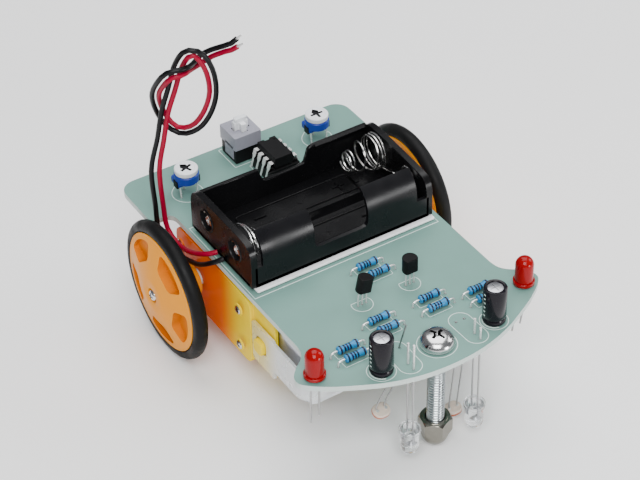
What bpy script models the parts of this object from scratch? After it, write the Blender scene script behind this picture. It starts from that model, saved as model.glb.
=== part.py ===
"""Two wheel robot car kit: a circuit-board chassis on two gear motors, with a battery tray on top.

Lengths in this file are millimetres in board coordinates: x to the right, y to the rear from the
wheel axle, z up from the board's top face. solid() turns them into metres in the part's own frame,
whose origin is on the ground under the middle of the car, with the front towards -Y.
"""
import math

import bmesh
import bpy
from mathutils import Matrix, Vector

MM = 0.001

# Chassis
BOARD_THICK = 1.6
REAR_HALF = 36.8
WAIST_HALF = 30.1
REAR_Y = 31.2
FRONT_Y = -79.3
NOTCH_Y = 12.3
GAP = 0.3

# Wheels and drive
AXLE_Z = -14.1
TYRE_R = 20.3
HUB_R = 18.2
WHEEL_IN = 37.4
WHEEL_OUT = 41.6
HUB_FACE = 44.3
GEARBOX_OUT = 29.9
GEARBOX_IN = 11.1
GEARBOX_HALF_HIGH = 11.25
GEARBOX_REAR = 11.2
GEARBOX_FRONT = -28.3
NECK_FRONT = -39.0
PEG_Y = -33.3
PEG_Z = AXLE_Z - 0.4
MOTOR_FRONT = -52.2
SHAFT_R = 2.7
OUTPUT_TEETH = 30
CLUSTER_TEETH = 10
CROWN_TEETH = 30
PINION_TEETH = 6
GEAR_MODULE = 0.575
CLUSTER_Y = -0.5 * GEAR_MODULE * (OUTPUT_TEETH + CLUSTER_TEETH)
CROWN_R = 7.5
DRIVE_X = 0.5 * (GEARBOX_OUT + GEARBOX_IN)

# Battery tray
TRAY_LEFT = -29.0
TRAY_RIGHT = 27.9
LIPS = ((-25.4, -9.5), (7.2, 22.8))
TRAY_FRONT = -28.6
TRAY_REAR = 3.0
TRAY_FLOOR = 1.3
TRAY_TOP = 15.0
TRAY_MID_Y = 0.5 * (TRAY_FRONT + TRAY_REAR)
BAY_WIDE = 14.7
CELL_Z = TRAY_FLOOR + 1.2 + 7.2

# Front skid screw
SCREW_Y = -71.0
SCREW_LENGTH = 30.0
SCREW_R = 2.45
HEX_FLAT = 8.0

# Small parts on the board
PITCH = 2.54
CAPACITOR_AT = (17.3, -71.6)
RED_LED_AT = (32.3, -64.2)
RED_LED_LEAN = {"left": -0.1, "right": -1.5}
TRANSISTOR_AT = (7.45, -47.8)
CLEAR_LED_AT = (10.2, -74.2)
SENSOR_AT = (10.0, -66.9)
TRIMMER_AT = {"left": (-22.0, 18.0), "right": (21.3, 19.4)}
TRIMMER_Z = 3.4
TRIMMER_LEGS = ((-PITCH, -1.0), (PITCH, -1.0), (0.0, 2.2))
SWITCH_AT = (-0.4, 25.2)
CHIP_AT = (3.8, 13.4)
RESISTORS = [(1.5, -36.5), (2.5, -40.7), (7.8, -56.1), (7.8, -60.3), (-7.8, -56.1),
             (-7.8, -60.3), (20.4, -60.4), (20.4, -64.2), (-20.4, -60.9), (-20.4, -64.4)]
RESISTOR_SPAN = 5.08

# Battery leads
LEAD_R = 0.72
BLACK_ROUTE = [(-29.4, -14.6, 2.3), (-31.9, -13.4, 1.3), (-33.2, -8.0, -2.6), (-33.4, -2.0, -5.2),
               (-34.0, 4.0, -6.6), (-34.9, 8.8, -5.5), (-35.4, 10.9, -1.0), (-35.5, 11.2, 6.0),
               (-35.5, 11.8, 17.6), (-33.4, 10.8, 27.9), (-32.2, 9.6, 36.7), (-30.5, 8.0, 44.6),
               (-29.0, 6.6, 51.8), (-27.5, 3.0, 57.7), (-23.9, 0.9, 56.9), (-21.4, 0.0, 51.2),
               (-20.4, 0.8, 43.4), (-21.4, 2.5, 36.4), (-23.4, 5.9, 30.1), (-26.3, 10.3, 26.8),
               (-29.5, 13.2, 29.2), (-32.2, 13.3, 35.8), (-34.2, 9.9, 43.7), (-33.3, 5.0, 51.2),
               (-30.8, 3.4, 52.6), (-28.3, 2.4, 52.9), (-24.5, 5.1, 51.4), (-21.9, 6.9, 51.4),
               (-19.9, 5.7, 53.2), (-17.5, 2.2, 55.8), (-15.8, 0.5, 56.9), (-14.5, -0.9, 58.8)]
RED_ROUTE = [(-29.4, -11.3, 2.3), (-31.9, -9.8, 1.7), (-32.9, -4.0, -1.4), (-32.9, 2.0, -3.8),
             (-33.0, 6.5, -3.9), (-33.3, 9.7, -1.4), (-33.5, 10.4, 5.0), (-33.7, 10.6, 17.4),
             (-32.0, 9.8, 27.7), (-30.8, 8.7, 36.2), (-29.0, 7.1, 44.0), (-27.5, 5.7, 50.9),
             (-26.6, 2.5, 56.1), (-24.9, 1.7, 55.5), (-22.9, 0.9, 50.7), (-21.8, 1.8, 43.6),
             (-22.8, 3.4, 37.2), (-24.5, 6.5, 31.5), (-26.5, 10.3, 28.8), (-28.4, 12.3, 30.4),
             (-30.7, 12.4, 36.2), (-32.7, 9.0, 43.3), (-32.1, 4.2, 49.9), (-30.4, 3.2, 50.7),
             (-28.6, 2.7, 51.0), (-25.0, 5.5, 49.6), (-21.4, 6.5, 49.6), (-19.0, 5.2, 51.5),
             (-16.8, 1.9, 54.1), (-14.9, 0.1, 55.2), (-14.3, -0.7, 56.2)]
LEAD_STEP = 3.4

ORIGIN = Vector((0.0, -0.5 * (REAR_Y + FRONT_Y), TYRE_R - AXLE_Z))
AXES = {"x": Vector((1, 0, 0)), "y": Vector((0, 1, 0)), "z": Vector((0, 0, 1))}

COLOURS = {
    "board": ((0.36, 0.55, 0.47), 0.35, 0.0),
    "black_plastic": ((0.012, 0.012, 0.013), 0.3, 0.0),
    "foam": ((0.82, 0.83, 0.80), 0.9, 0.0),
    "steel": ((0.72, 0.72, 0.70), 0.25, 1.0),
    "grey_plastic": ((0.55, 0.57, 0.58), 0.45, 0.0),
    "white_plastic": ((0.85, 0.86, 0.86), 0.4, 0.0),
    "blue_plastic": ((0.02, 0.22, 0.62), 0.35, 0.0),
    "capacitor": ((0.015, 0.016, 0.02), 0.3, 0.0),
    "red_lens": ((0.75, 0.02, 0.03), 0.12, 0.0),
    "clear_lens": ((0.85, 0.88, 0.9), 0.08, 0.0),
    "sensor": ((0.78, 0.55, 0.42), 0.35, 0.0),
    "resistor": ((0.10, 0.42, 0.72), 0.4, 0.0),
    "orange_plastic": ((0.95, 0.36, 0.03), 0.35, 0.0),
    "tyre": ((0.012, 0.012, 0.012), 0.8, 0.0),
    "yellow_plastic": ((0.88, 0.72, 0.10), 0.4, 0.0),
    "strap": ((0.80, 0.80, 0.74), 0.25, 0.0),
    "red_lead": ((0.62, 0.02, 0.09), 0.4, 0.0),
    "black_lead": ((0.015, 0.015, 0.015), 0.4, 0.0),
}


def clear_scene():
    """Remove every object that the new file starts with."""
    for existing in list(bpy.data.objects):
        bpy.data.objects.remove(existing, do_unlink=True)


def solid(points, faces):
    """Mesh object from board-coordinate points in millimetres, with its faces turned outward."""
    mesh = bpy.data.meshes.new("piece")
    mesh.from_pydata([(Vector(point) + ORIGIN) * MM for point in points], [], faces)
    shape = bmesh.new()
    shape.from_mesh(mesh)
    bmesh.ops.remove_doubles(shape, verts=shape.verts, dist=1e-7)
    bmesh.ops.recalc_face_normals(shape, faces=shape.faces)
    shape.to_mesh(mesh)
    shape.free()
    piece = bpy.data.objects.new("piece", mesh)
    bpy.context.scene.collection.objects.link(piece)
    return piece


def place_uv(axis, along, u, v):
    """Point from a distance along an axis and two coordinates across it, kept right-handed."""
    if axis == "x":
        return (along, u, v)
    if axis == "y":
        return (u, along, v)
    return (u, v, along)


def prism(outline, low, high, axis="z"):
    """Outline in the plane across the axis, extruded from low to high."""
    count = len(outline)
    points = [place_uv(axis, low, u, v) for u, v in outline]
    points += [place_uv(axis, high, u, v) for u, v in outline]
    faces = [tuple(range(count))[::-1], tuple(range(count, 2 * count))]
    faces += [(i, (i + 1) % count, count + (i + 1) % count, count + i) for i in range(count)]
    return solid(points, faces)


def box(low, high):
    """Block between two corners."""
    outline = [(low[0], low[1]), (high[0], low[1]), (high[0], high[1]), (low[0], high[1])]
    return prism(outline, low[2], high[2])


def circle(u, v, radius, count=24, start=0.0):
    """Points round a circle."""
    step = 2.0 * math.pi / count
    return [(u + radius * math.cos(start + i * step), v + radius * math.sin(start + i * step))
            for i in range(count)]


def rod(axis, u, v, radius, low, high, count=12):
    """Round bar along an axis."""
    return prism(circle(u, v, radius, count), low, high, axis)


def rounded(u0, v0, u1, v1, radius, steps=3):
    """Outline of a rectangle with round corners."""
    centres = [(u1 - radius, v1 - radius, 0), (u0 + radius, v1 - radius, 1),
               (u0 + radius, v0 + radius, 2), (u1 - radius, v0 + radius, 3)]
    outline = []
    for u, v, quarter in centres:
        for i in range(steps + 1):
            turn = 0.5 * math.pi * (quarter + i / steps)
            outline.append((u + radius * math.cos(turn), v + radius * math.sin(turn)))
    return outline


def lathe(profile, axis, u, v, count=24):
    """Closed (radius, along) profile turned round an axis; a zero radius closes the end."""
    points = []
    rings = []
    for radius, along in profile:
        if radius < 1e-6:
            rings.append([len(points)])
            points.append(place_uv(axis, along, u, v))
            continue
        rings.append(list(range(len(points), len(points) + count)))
        points += [place_uv(axis, along, a, b) for a, b in circle(u, v, radius, count)]
    faces = []
    for here, there in zip(rings, rings[1:] + rings[:1]):
        if len(here) == 1 and len(there) == 1:
            continue
        for i in range(count):
            j = (i + 1) % count
            ring = [here[i % len(here)], here[j % len(here)], there[j % len(there)], there[i % len(there)]]
            faces.append(tuple(dict.fromkeys(ring)))
    return solid(points, faces)


def wire(route, radius, count=5):
    """Round bar bent along a few route points, with flat ends."""
    route = [Vector(point) for point in route]
    points = []
    side = None
    for i, here in enumerate(route):
        ahead = (route[min(i + 1, len(route) - 1)] - route[max(i - 1, 0)]).normalized()
        if side is None:
            side = ahead.orthogonal().normalized()
        side = (side - ahead * side.dot(ahead)).normalized()
        across = ahead.cross(side)
        points += [tuple(here + side * u + across * v) for u, v in circle(0, 0, radius, count)]
    faces = [tuple(range(count))[::-1], tuple(range(len(points) - count, len(points)))]
    for i in range(len(route) - 1):
        for j in range(count):
            k = (j + 1) % count
            faces.append((i * count + j, i * count + k, (i + 1) * count + k, (i + 1) * count + j))
    return solid(points, faces)


def combine(base, others, operation):
    """Join the others to the base, or cut them from it, and remove them."""
    for other in others:
        modifier = base.modifiers.new("combine", "BOOLEAN")
        modifier.operation = operation
        modifier.solver = "EXACT"
        modifier.object = other
        bpy.context.view_layer.update()
        result = bpy.data.meshes.new_from_object(base.evaluated_get(bpy.context.evaluated_depsgraph_get()))
        base.modifiers.clear()
        base.data = result
        bpy.data.objects.remove(other, do_unlink=True)
    return base


def join(base, *others):
    """One body from overlapping pieces."""
    return combine(base, others, "UNION")


def cut(base, *others):
    """The base with the others taken out of it."""
    return combine(base, others, "DIFFERENCE")


def tilt(piece, pivot, axis, degrees):
    """Turn a piece about a board-coordinate point."""
    centre = (Vector(pivot) + ORIGIN) * MM
    turn = Matrix.Translation(centre) @ Matrix.Rotation(math.radians(degrees), 4, axis)
    piece.data.transform(turn @ Matrix.Translation(-centre))
    return piece


def material(name):
    """Principled material for one node."""
    colour, roughness, metallic = COLOURS[name]
    made = bpy.data.materials.new(name)
    made.use_nodes = True
    shader = made.node_tree.nodes["Principled BSDF"]
    shader.inputs["Base Color"].default_value = (*colour, 1.0)
    shader.inputs["Roughness"].default_value = roughness
    shader.inputs["Metallic"].default_value = metallic
    made.diffuse_color = (*colour, 1.0)
    return made


def node(name, piece, look, pivot=None):
    """Name a finished piece, give it its material and put its origin on its pivot."""
    piece.name = name
    piece.data.name = name
    piece.data.materials.clear()
    piece.data.materials.append(material(look))
    if pivot is not None:
        centre = (Vector(pivot) + ORIGIN) * MM
        piece.data.transform(Matrix.Translation(-centre))
        piece.location = centre
    return piece


def board_outline():
    """Chassis outline: wide rear, notches for the wheels, and a curved nose that flares out."""
    right = [(0.0, FRONT_Y), (4.8, -79.1), (9.6, -78.5), (14.8, -77.2), (19.8, -75.4), (25.2, -72.7),
             (29.9, -70.2), (34.0, -67.4), (36.7, -65.0), (37.3, -63.2), (36.7, -61.2), (34.6, -59.0),
             (32.2, -57.3), (30.6, -55.4), (WAIST_HALF, -52.8)]
    right += [(WAIST_HALF, 9.7), (WAIST_HALF + 0.3, 11.0), (WAIST_HALF + 1.2, 12.0),
              (WAIST_HALF + 2.5, NOTCH_Y), (REAR_HALF - 1.2, NOTCH_Y), (REAR_HALF - 0.35, NOTCH_Y + 0.35),
              (REAR_HALF, NOTCH_Y + 1.2)]
    for i in range(6):
        turn = 0.5 * math.pi * i / 5
        right.append((REAR_HALF - 4.5 + 4.5 * math.cos(turn), REAR_Y - 4.5 + 4.5 * math.sin(turn)))
    left = [(-x, y) for x, y in reversed(right) if x > 1e-6]
    return right + left


def lead_holes():
    """Where a component leg passes through the board, as x and y."""
    holes = []
    for side in (-1, 1):
        for name_at, offsets in ((CAPACITOR_AT, ((-PITCH / 2, 0), (PITCH / 2, 0))),
                                 (RED_LED_AT, ((-PITCH / 2, 0), (PITCH / 2, 0))),
                                 (CLEAR_LED_AT, ((0, -PITCH / 2), (0, PITCH / 2))),
                                 (SENSOR_AT, ((-PITCH / 2, 0), (PITCH / 2, 0))),
                                 (TRANSISTOR_AT, ((-PITCH / 2, 0), (0, 0), (PITCH / 2, 0)))):
            holes += [(side * name_at[0] + dx, name_at[1] + dy) for dx, dy in offsets]
    for x, y in TRIMMER_AT.values():
        holes += [(x + dx, y + dy) for dx, dy in TRIMMER_LEGS]
    for x, y in RESISTORS:
        holes += [(x - RESISTOR_SPAN, y), (x + RESISTOR_SPAN, y)]
    holes += [(SWITCH_AT[0] + dx, SWITCH_AT[1] + dy) for dx in (-2.5, 2.5) for dy in (-2, 0, 2)]
    holes += [(CHIP_AT[0] + dx, CHIP_AT[1] + (i - 1.5) * PITCH) for dx in (-3.81, 3.81) for i in range(4)]
    return holes


def circuit_board():
    """Board with its leg holes and the hole for the skid screw."""
    board = prism(board_outline(), -BOARD_THICK, 0.0)
    drills = [box((x - 0.55, y - 0.55, -3.0), (x + 0.55, y + 0.55, 1.0)) for x, y in lead_holes()]
    drills.append(rod("z", 0.0, SCREW_Y, 2.8, -3.0, 1.0, 16))
    bits = bmesh.new()
    for drill in drills:
        bits.from_mesh(drill.data)
        bpy.data.objects.remove(drill, do_unlink=True)
    mesh = bpy.data.meshes.new("drills")
    bits.to_mesh(mesh)
    bits.free()
    cutter = bpy.data.objects.new("drills", mesh)
    bpy.context.scene.collection.objects.link(cutter)
    node("circuit_board", cut(board, cutter), "board")


def tray_lip(low, high):
    """Rolled lip over the front cell: part of a tube along x."""
    y = TRAY_MID_Y - 0.5 * BAY_WIDE
    outer, inner = 0.5 * BAY_WIDE + 1.1, 0.5 * BAY_WIDE + 0.05
    turns = [math.radians(184 - 59 * i / 7) for i in range(8)]
    section = [(y + outer * math.cos(turn), CELL_Z + outer * math.sin(turn)) for turn in turns]
    section += [(y + inner * math.cos(turn), CELL_Z + inner * math.sin(turn)) for turn in reversed(turns)]
    return prism(section, low, high, "x")


def battery_tray():
    """Open tray with two bays, low middle wall, lips that hold the front cell, and its tape."""
    floor, left, right = TRAY_FLOOR, TRAY_LEFT + 1.5, TRAY_RIGHT - 1.5
    tray = prism(rounded(TRAY_LEFT, TRAY_FRONT, TRAY_RIGHT, TRAY_REAR, 1.5), floor, TRAY_TOP)
    hollow = box((left, TRAY_FRONT + 1.1, floor + 1.2), (right, TRAY_REAR - 1.1, 20.0))
    tray = cut(tray, hollow)
    rib = box((left - 0.3, TRAY_MID_Y - 0.5, floor + 1.0), (right + 0.3, TRAY_MID_Y + 0.5, floor + 4.5))
    tray = join(tray, rib)
    front = [(left, 7.5), (LIPS[0][0], 7.5), (LIPS[0][0], CELL_Z), (LIPS[0][1] + 0.1, CELL_Z),
             (LIPS[0][1] + 1.1, 6.9), (LIPS[1][0] - 1.1, 6.9), (LIPS[1][0] - 0.1, CELL_Z),
             (LIPS[1][1], CELL_Z), (LIPS[1][1], 7.5), (right, 7.5), (right, 16.0), (left, 16.0)]
    rear = [(left, 12.4), (-8.5, 12.4), (-7.0, 8.2), (4.5, 8.2), (6.0, 9.0), (8.5, 12.6), (9.5, 13.3),
            (right, 13.3), (right, 16.0), (left, 16.0)]
    dips = [prism(front, TRAY_FRONT - 1.0, TRAY_FRONT + 1.9, "y"),
            prism(rear, TRAY_REAR - 1.9, TRAY_REAR + 1.0, "y")]
    for y in (TRAY_MID_Y - 0.5 * BAY_WIDE, TRAY_MID_Y + 0.5 * BAY_WIDE):
        dips.append(rod("x", y, CELL_Z - 1.0, 2.7, -31.0, -26.0, 20))
    left_end = [(TRAY_FRONT - 1, 16.0), (TRAY_FRONT - 1, 11.4), (TRAY_FRONT, 11.4), (TRAY_FRONT + 1.0, 13.6),
                (TRAY_FRONT + 3.2, TRAY_TOP), (TRAY_FRONT + 3.2, 16.0)]
    right_end = [(TRAY_FRONT - 1, 16.0), (TRAY_FRONT - 1, 10.2), (TRAY_FRONT, 10.2), (TRAY_FRONT + 0.8, 12.2),
                 (TRAY_FRONT + 3.0, 13.3), (TRAY_MID_Y + 4.0, 14.2), (TRAY_REAR - 3.6, TRAY_TOP),
                 (TRAY_REAR - 3.6, 16.0)]
    corner = [(TRAY_REAR + 1, 16.0), (TRAY_REAR + 1, 12.4), (TRAY_REAR, 12.4), (TRAY_REAR - 0.9, 14.2),
              (TRAY_REAR - 2.8, TRAY_TOP), (TRAY_REAR - 2.8, 16.0)]
    for outline in (left_end, corner):
        dips.append(prism(outline, left - 3.0, left, "x"))
    for outline in (right_end, corner):
        dips.append(prism(outline, right, right + 3.0, "x"))
    tray = cut(tray, *dips)
    node("battery_holder", join(tray, *[tray_lip(low, high) for low, high in LIPS]), "black_plastic")
    tape = box((TRAY_LEFT + 1.0, TRAY_FRONT - 1.2, GAP), (TRAY_RIGHT + 0.1, TRAY_REAR - 1.0, 1.0))
    node("holder_tape", tape, "foam")


def cone_spring(base, tip, y, large, small, turns):
    """Route of a conical spring along x, from its base to its tip."""
    steps = int(turns * 8)
    route = []
    for i in range(steps + 1):
        part = i / steps
        radius = large + (small - large) * part
        turn = 2.0 * math.pi * turns * part
        route.append((base + (tip - base) * part, y + radius * math.sin(turn),
                      CELL_Z - radius * math.cos(turn)))
    return route


def battery_contacts():
    """The linked pair at the right end, and the two separate contacts at the left end."""
    front_y = TRAY_MID_Y - 0.5 * BAY_WIDE
    rear_y = TRAY_MID_Y + 0.5 * BAY_WIDE
    base = TRAY_RIGHT - 2.4
    spring = cone_spring(base, base - 11.0, rear_y, 4.6, 2.2, 4)
    tail = [(base, rear_y - 3.0, CELL_Z - 5.5), (base, TRAY_MID_Y, CELL_Z - 2.2),
            (base, front_y + 3.6, CELL_Z - 2.6), (base, front_y + 1.5, CELL_Z + 2.6),
            (base, front_y - 2.0, CELL_Z + 1.8), (base, front_y - 2.0, CELL_Z - 1.8)]
    link = wire(tail[::-1] + spring, 0.42)
    node("contact_link", link, "steel")
    lead_spring = wire(cone_spring(-26.3, -20.0, front_y, 4.6, 2.4, 3), 0.42)
    node("contact_spring", lead_spring, "steel")
    button = join(rod("x", rear_y, CELL_Z - 0.6, 4.2, -27.15, -26.75, 20),
                  rod("x", rear_y, CELL_Z - 0.6, 1.6, -26.9, -25.9, 12))
    node("contact_button", button, "steel")


def push_switch():
    """Latching push switch: black base, grey cover and a white button that slides down."""
    x, y = SWITCH_AT
    base = box((x - 4.0, y - 4.0, GAP), (x + 4.0, y + 4.0, 4.6))
    legs = [rod("z", x + dx, y + dy, 0.28, -3.6, 1.0, 5) for dx in (-2.5, 2.5) for dy in (-2, 0, 2)]
    node("switch_base", join(base, *legs), "black_plastic")
    cover = prism(rounded(x - 4.3, y - 4.3, x + 4.3, y + 4.3, 0.5, 2), 4.9, 9.3)
    well = box((x - 2.9, y - 2.9, 4.0), (x + 2.9, y + 2.9, 10.0))
    node("switch_cover", cut(cover, well), "grey_plastic")
    button = prism(rounded(x - 2.5, y - 2.5, x + 2.5, y + 2.5, 0.5, 2), 7.3, 12.8)
    node("switch_button", button, "white_plastic", (x, y, 7.3))


def chip():
    """Eight-leg chip in a socket that stands on the board."""
    x, y = CHIP_AT
    socket = box((x - 4.9, y - 5.1, GAP), (x + 4.9, y + 5.1, 4.0))
    socket = cut(socket, box((x - 2.3, y - 3.6, -1.0), (x + 2.3, y + 3.6, 6.0)))
    rows = [(x + dx, y + (i - 1.5) * PITCH) for dx in (-3.81, 3.81) for i in range(4)]
    pins = [rod("z", px, py, 0.25, -3.2, 1.0, 4) for px, py in rows]
    node("ic_socket", join(socket, *pins), "black_plastic")
    package = box((x - 3.2, y - 4.8, 4.6), (x + 3.2, y + 4.8, 7.8))
    notch = rod("z", x, y + 4.8, 0.9, 7.2, 9.0, 12)
    package = cut(package, notch)
    legs = []
    for px, py in rows:
        outer = px + math.copysign(0.18, px - x)
        inner = x + math.copysign(3.0, px - x)
        low, high = sorted((inner, outer))
        legs.append(box((low, py - 0.7, 5.9), (high, py + 0.7, 6.2)))
        low, high = sorted((outer, outer - math.copysign(0.3, px - x)))
        legs.append(box((low, py - 0.45, 4.3), (high, py + 0.45, 6.1)))
    node("ic_chip", join(package, *legs), "black_plastic")


def trimmer(name):
    """Trimmer resistor: blue body on three legs and a slotted white rotor that turns."""
    x, y = TRIMMER_AT[name]
    z = TRIMMER_Z
    body = prism(circle(x, y, 3.5, 16), z, z + 3.8)
    body = join(body, box((x - 3.3, y - 1.6, z - 0.2), (x + 3.3, y + 3.2, z + 2.0)))
    legs = [rod("z", x + dx, y + dy, 0.3, -3.2, z + 0.8, 5) for dx, dy in TRIMMER_LEGS]
    body = join(body, *legs)
    body = cut(body, rod("z", x, y, 1.0, z + 2.2, z + 5.0))
    node("trimmer_%s_body" % name, body, "blue_plastic")
    rotor = prism(circle(x, y, 3.3, 18), z + 4.1, z + 5.4)
    rotor = join(rotor, rod("z", x, y, 0.7, z + 2.5, z + 4.4, 12))
    slots = [box((x - 1.9, y - 0.35, z + 4.8), (x + 1.9, y + 0.35, z + 6.0)),
             box((x - 0.35, y - 1.9, z + 4.8), (x + 0.35, y + 1.9, z + 6.0))]
    node("trimmer_%s_rotor" % name, cut(rotor, *slots), "white_plastic", (x, y, z + 4.1))


def capacitor(side, name):
    """Can capacitor standing on the board, with its pressed groove and two legs."""
    x, y = side * CAPACITOR_AT[0], CAPACITOR_AT[1]
    profile = [(0, GAP), (2.8, GAP), (3.15, 0.8), (3.15, 1.2), (2.85, 1.7), (3.15, 2.2), (3.15, 11.0),
               (2.85, 11.4), (0, 11.4)]
    legs = [rod("z", x + dx, y, 0.25, -3.4, 1.0, 5) for dx in (-PITCH / 2, PITCH / 2)]
    node("capacitor_" + name, join(lathe(profile, "z", x, y, 18), *legs), "capacitor")


def led_profile(base, way):
    """Profile of a 5 mm lamp from its base, built upward or downward."""
    rows = [(0, 0), (2.9, 0), (2.9, 1.0), (2.48, 1.0), (2.48, 6.0)]
    rows += [(2.48 * math.cos(t * math.pi / 10), 6.0 + 2.48 * math.sin(t * math.pi / 10)) for t in (2, 4)]
    rows.append((0, 8.48))
    return [(radius, base + way * along) for radius, along in rows]


def red_led(side, name):
    """Red lamp standing on the board with two long legs below, one longer than the other."""
    x, y = side * RED_LED_AT[0], RED_LED_AT[1]
    lean = RED_LED_LEAN[name]
    lamp = lathe(led_profile(0.5, 1), "z", x, y, 16)
    legs = [wire([(x + dx, y, 1.0), (x + dx, y, -2.0), (x + dx + lean, y + 0.2, -14.7 + 0.6 * dx)], 0.27)
            for dx in (-PITCH / 2, PITCH / 2)]
    node("red_led_" + name, join(lamp, *legs), "red_lens")


def clear_led(side, name, base):
    """Clear lamp hanging on its legs below the board, aimed at the ground."""
    x, y = side * CLEAR_LED_AT[0], CLEAR_LED_AT[1]
    lamp = lathe(led_profile(base, -1), "z", x, y, 16)
    legs = [wire([(x, y + dy, base - 0.6), (x, y + dy, 3.2 + 1.4 * side * dy)], 0.27)
            for dy in (-PITCH / 2, PITCH / 2)]
    node("clear_led_" + name, join(lamp, *legs), "clear_lens")


def light_sensor(side, name, centre, lean):
    """Light sensor disc hanging on its two legs below the board."""
    x, y = side * SENSOR_AT[0], SENSOR_AT[1]
    cx, cy, cz = centre
    disc = prism(rounded(cx - 2.5, cy - 2.1, cx + 2.5, cy + 2.1, 2.05, 5), cz - 1.0, cz + 1.0)
    disc = tilt(disc, centre, "X", lean)
    legs = []
    for dx in (-PITCH / 2, PITCH / 2):
        bend = 0.5 * (cz + 1.0)
        legs.append(wire([(cx + dx, cy, cz + 0.4), (cx + dx, cy, cz + 2.5), (x + dx, y, bend),
                          (x + dx, y, -2.0), (x + dx, y, 2.4)], 0.25))
    node("light_sensor_" + name, join(disc, *legs), "sensor")


def transistor(side, name, lean):
    """Three-leg transistor on tall legs."""
    x, y = side * TRANSISTOR_AT[0], TRANSISTOR_AT[1]
    outline = [(x + 2.3 * math.cos(math.radians(a)), y + 2.3 * math.sin(math.radians(a)))
               for a in range(-40, 221, 26)]
    body = tilt(prism(outline, 4.4, 9.0), (x, y, 3.0), "Y", lean)
    top = 5.4
    shift = (top - 3.0) * math.tan(math.radians(lean))
    legs = [wire([(x + dx, y, -3.0), (x + dx, y, 2.6), (x + dx + shift, y, top)], 0.24)
            for dx in (-PITCH / 2, 0, PITCH / 2)]
    node("transistor_" + name, join(body, *legs), "black_plastic")


def resistor(number, x, y):
    """Small resistor lying on the board, with its bent legs."""
    z = 1.55
    profile = [(0, -3.15), (1.15, -2.9), (1.15, -1.9), (0.95, -1.6), (0.95, 1.6), (1.15, 1.9), (1.15, 2.9),
               (0, 3.15)]
    body = lathe([(radius, x + along) for radius, along in profile], "x", y, z, 8)
    span = RESISTOR_SPAN
    leg = wire([(x - span, y, -2.6), (x - span, y, 1.1), (x - span + 0.45, y, z), (x + span - 0.45, y, z),
                (x + span, y, 1.1), (x + span, y, -2.6)], 0.27, 4)
    node("resistor_%d" % number, join(body, leg), "resistor")


def hexagon(flat, start=0.0):
    """Six-sided outline round the skid screw."""
    return circle(0.0, SCREW_Y, flat / math.sqrt(3.0), 6, start)


def skid_screw():
    """Machine screw through the nose, its lock nut, and the domed nut that slides on the ground."""
    tip = -SCREW_LENGTH
    profile = [(0, tip), (SCREW_R - 0.4, tip), (SCREW_R, tip + 0.5), (SCREW_R, GAP), (4.6, GAP),
               (4.6, 1.3), (4.2, 2.3), (3.3, 3.0), (1.9, 3.4), (0, 3.45)]
    screw = lathe(profile, "z", 0.0, SCREW_Y, 20)
    cross = [box((-2.1, SCREW_Y - 0.4, 1.6), (2.1, SCREW_Y + 0.4, 5.0)),
             box((-0.4, SCREW_Y - 2.1, 1.6), (0.4, SCREW_Y + 2.1, 5.0))]
    node("skid_screw", cut(screw, *cross), "steel")
    top = -BOARD_THICK - GAP
    lock = cut(prism(hexagon(HEX_FLAT), top - 4.0, top), rod("z", 0, SCREW_Y, SCREW_R + GAP, -20, 5, 16))
    node("lock_nut", lock, "steel")
    ground = AXLE_Z - TYRE_R
    dome = [(0, ground), (1.3, ground + 0.25), (2.5, ground + 0.95), (3.3, ground + 2.1), (3.7, ground + 3.4),
            (3.7, ground + 4.8), (0, ground + 4.8)]
    nut = join(prism(hexagon(HEX_FLAT, 0.35), ground + 4.4, ground + 10.0), lathe(dome, "z", 0, SCREW_Y, 18))
    node("cap_nut", cut(nut, rod("z", 0, SCREW_Y, SCREW_R + GAP, ground + 3.4, 0, 16)), "steel")


def across(side, near, far):
    """Low and high x of a span given as distances from the middle plane."""
    return tuple(sorted((side * near, side * far)))


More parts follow.
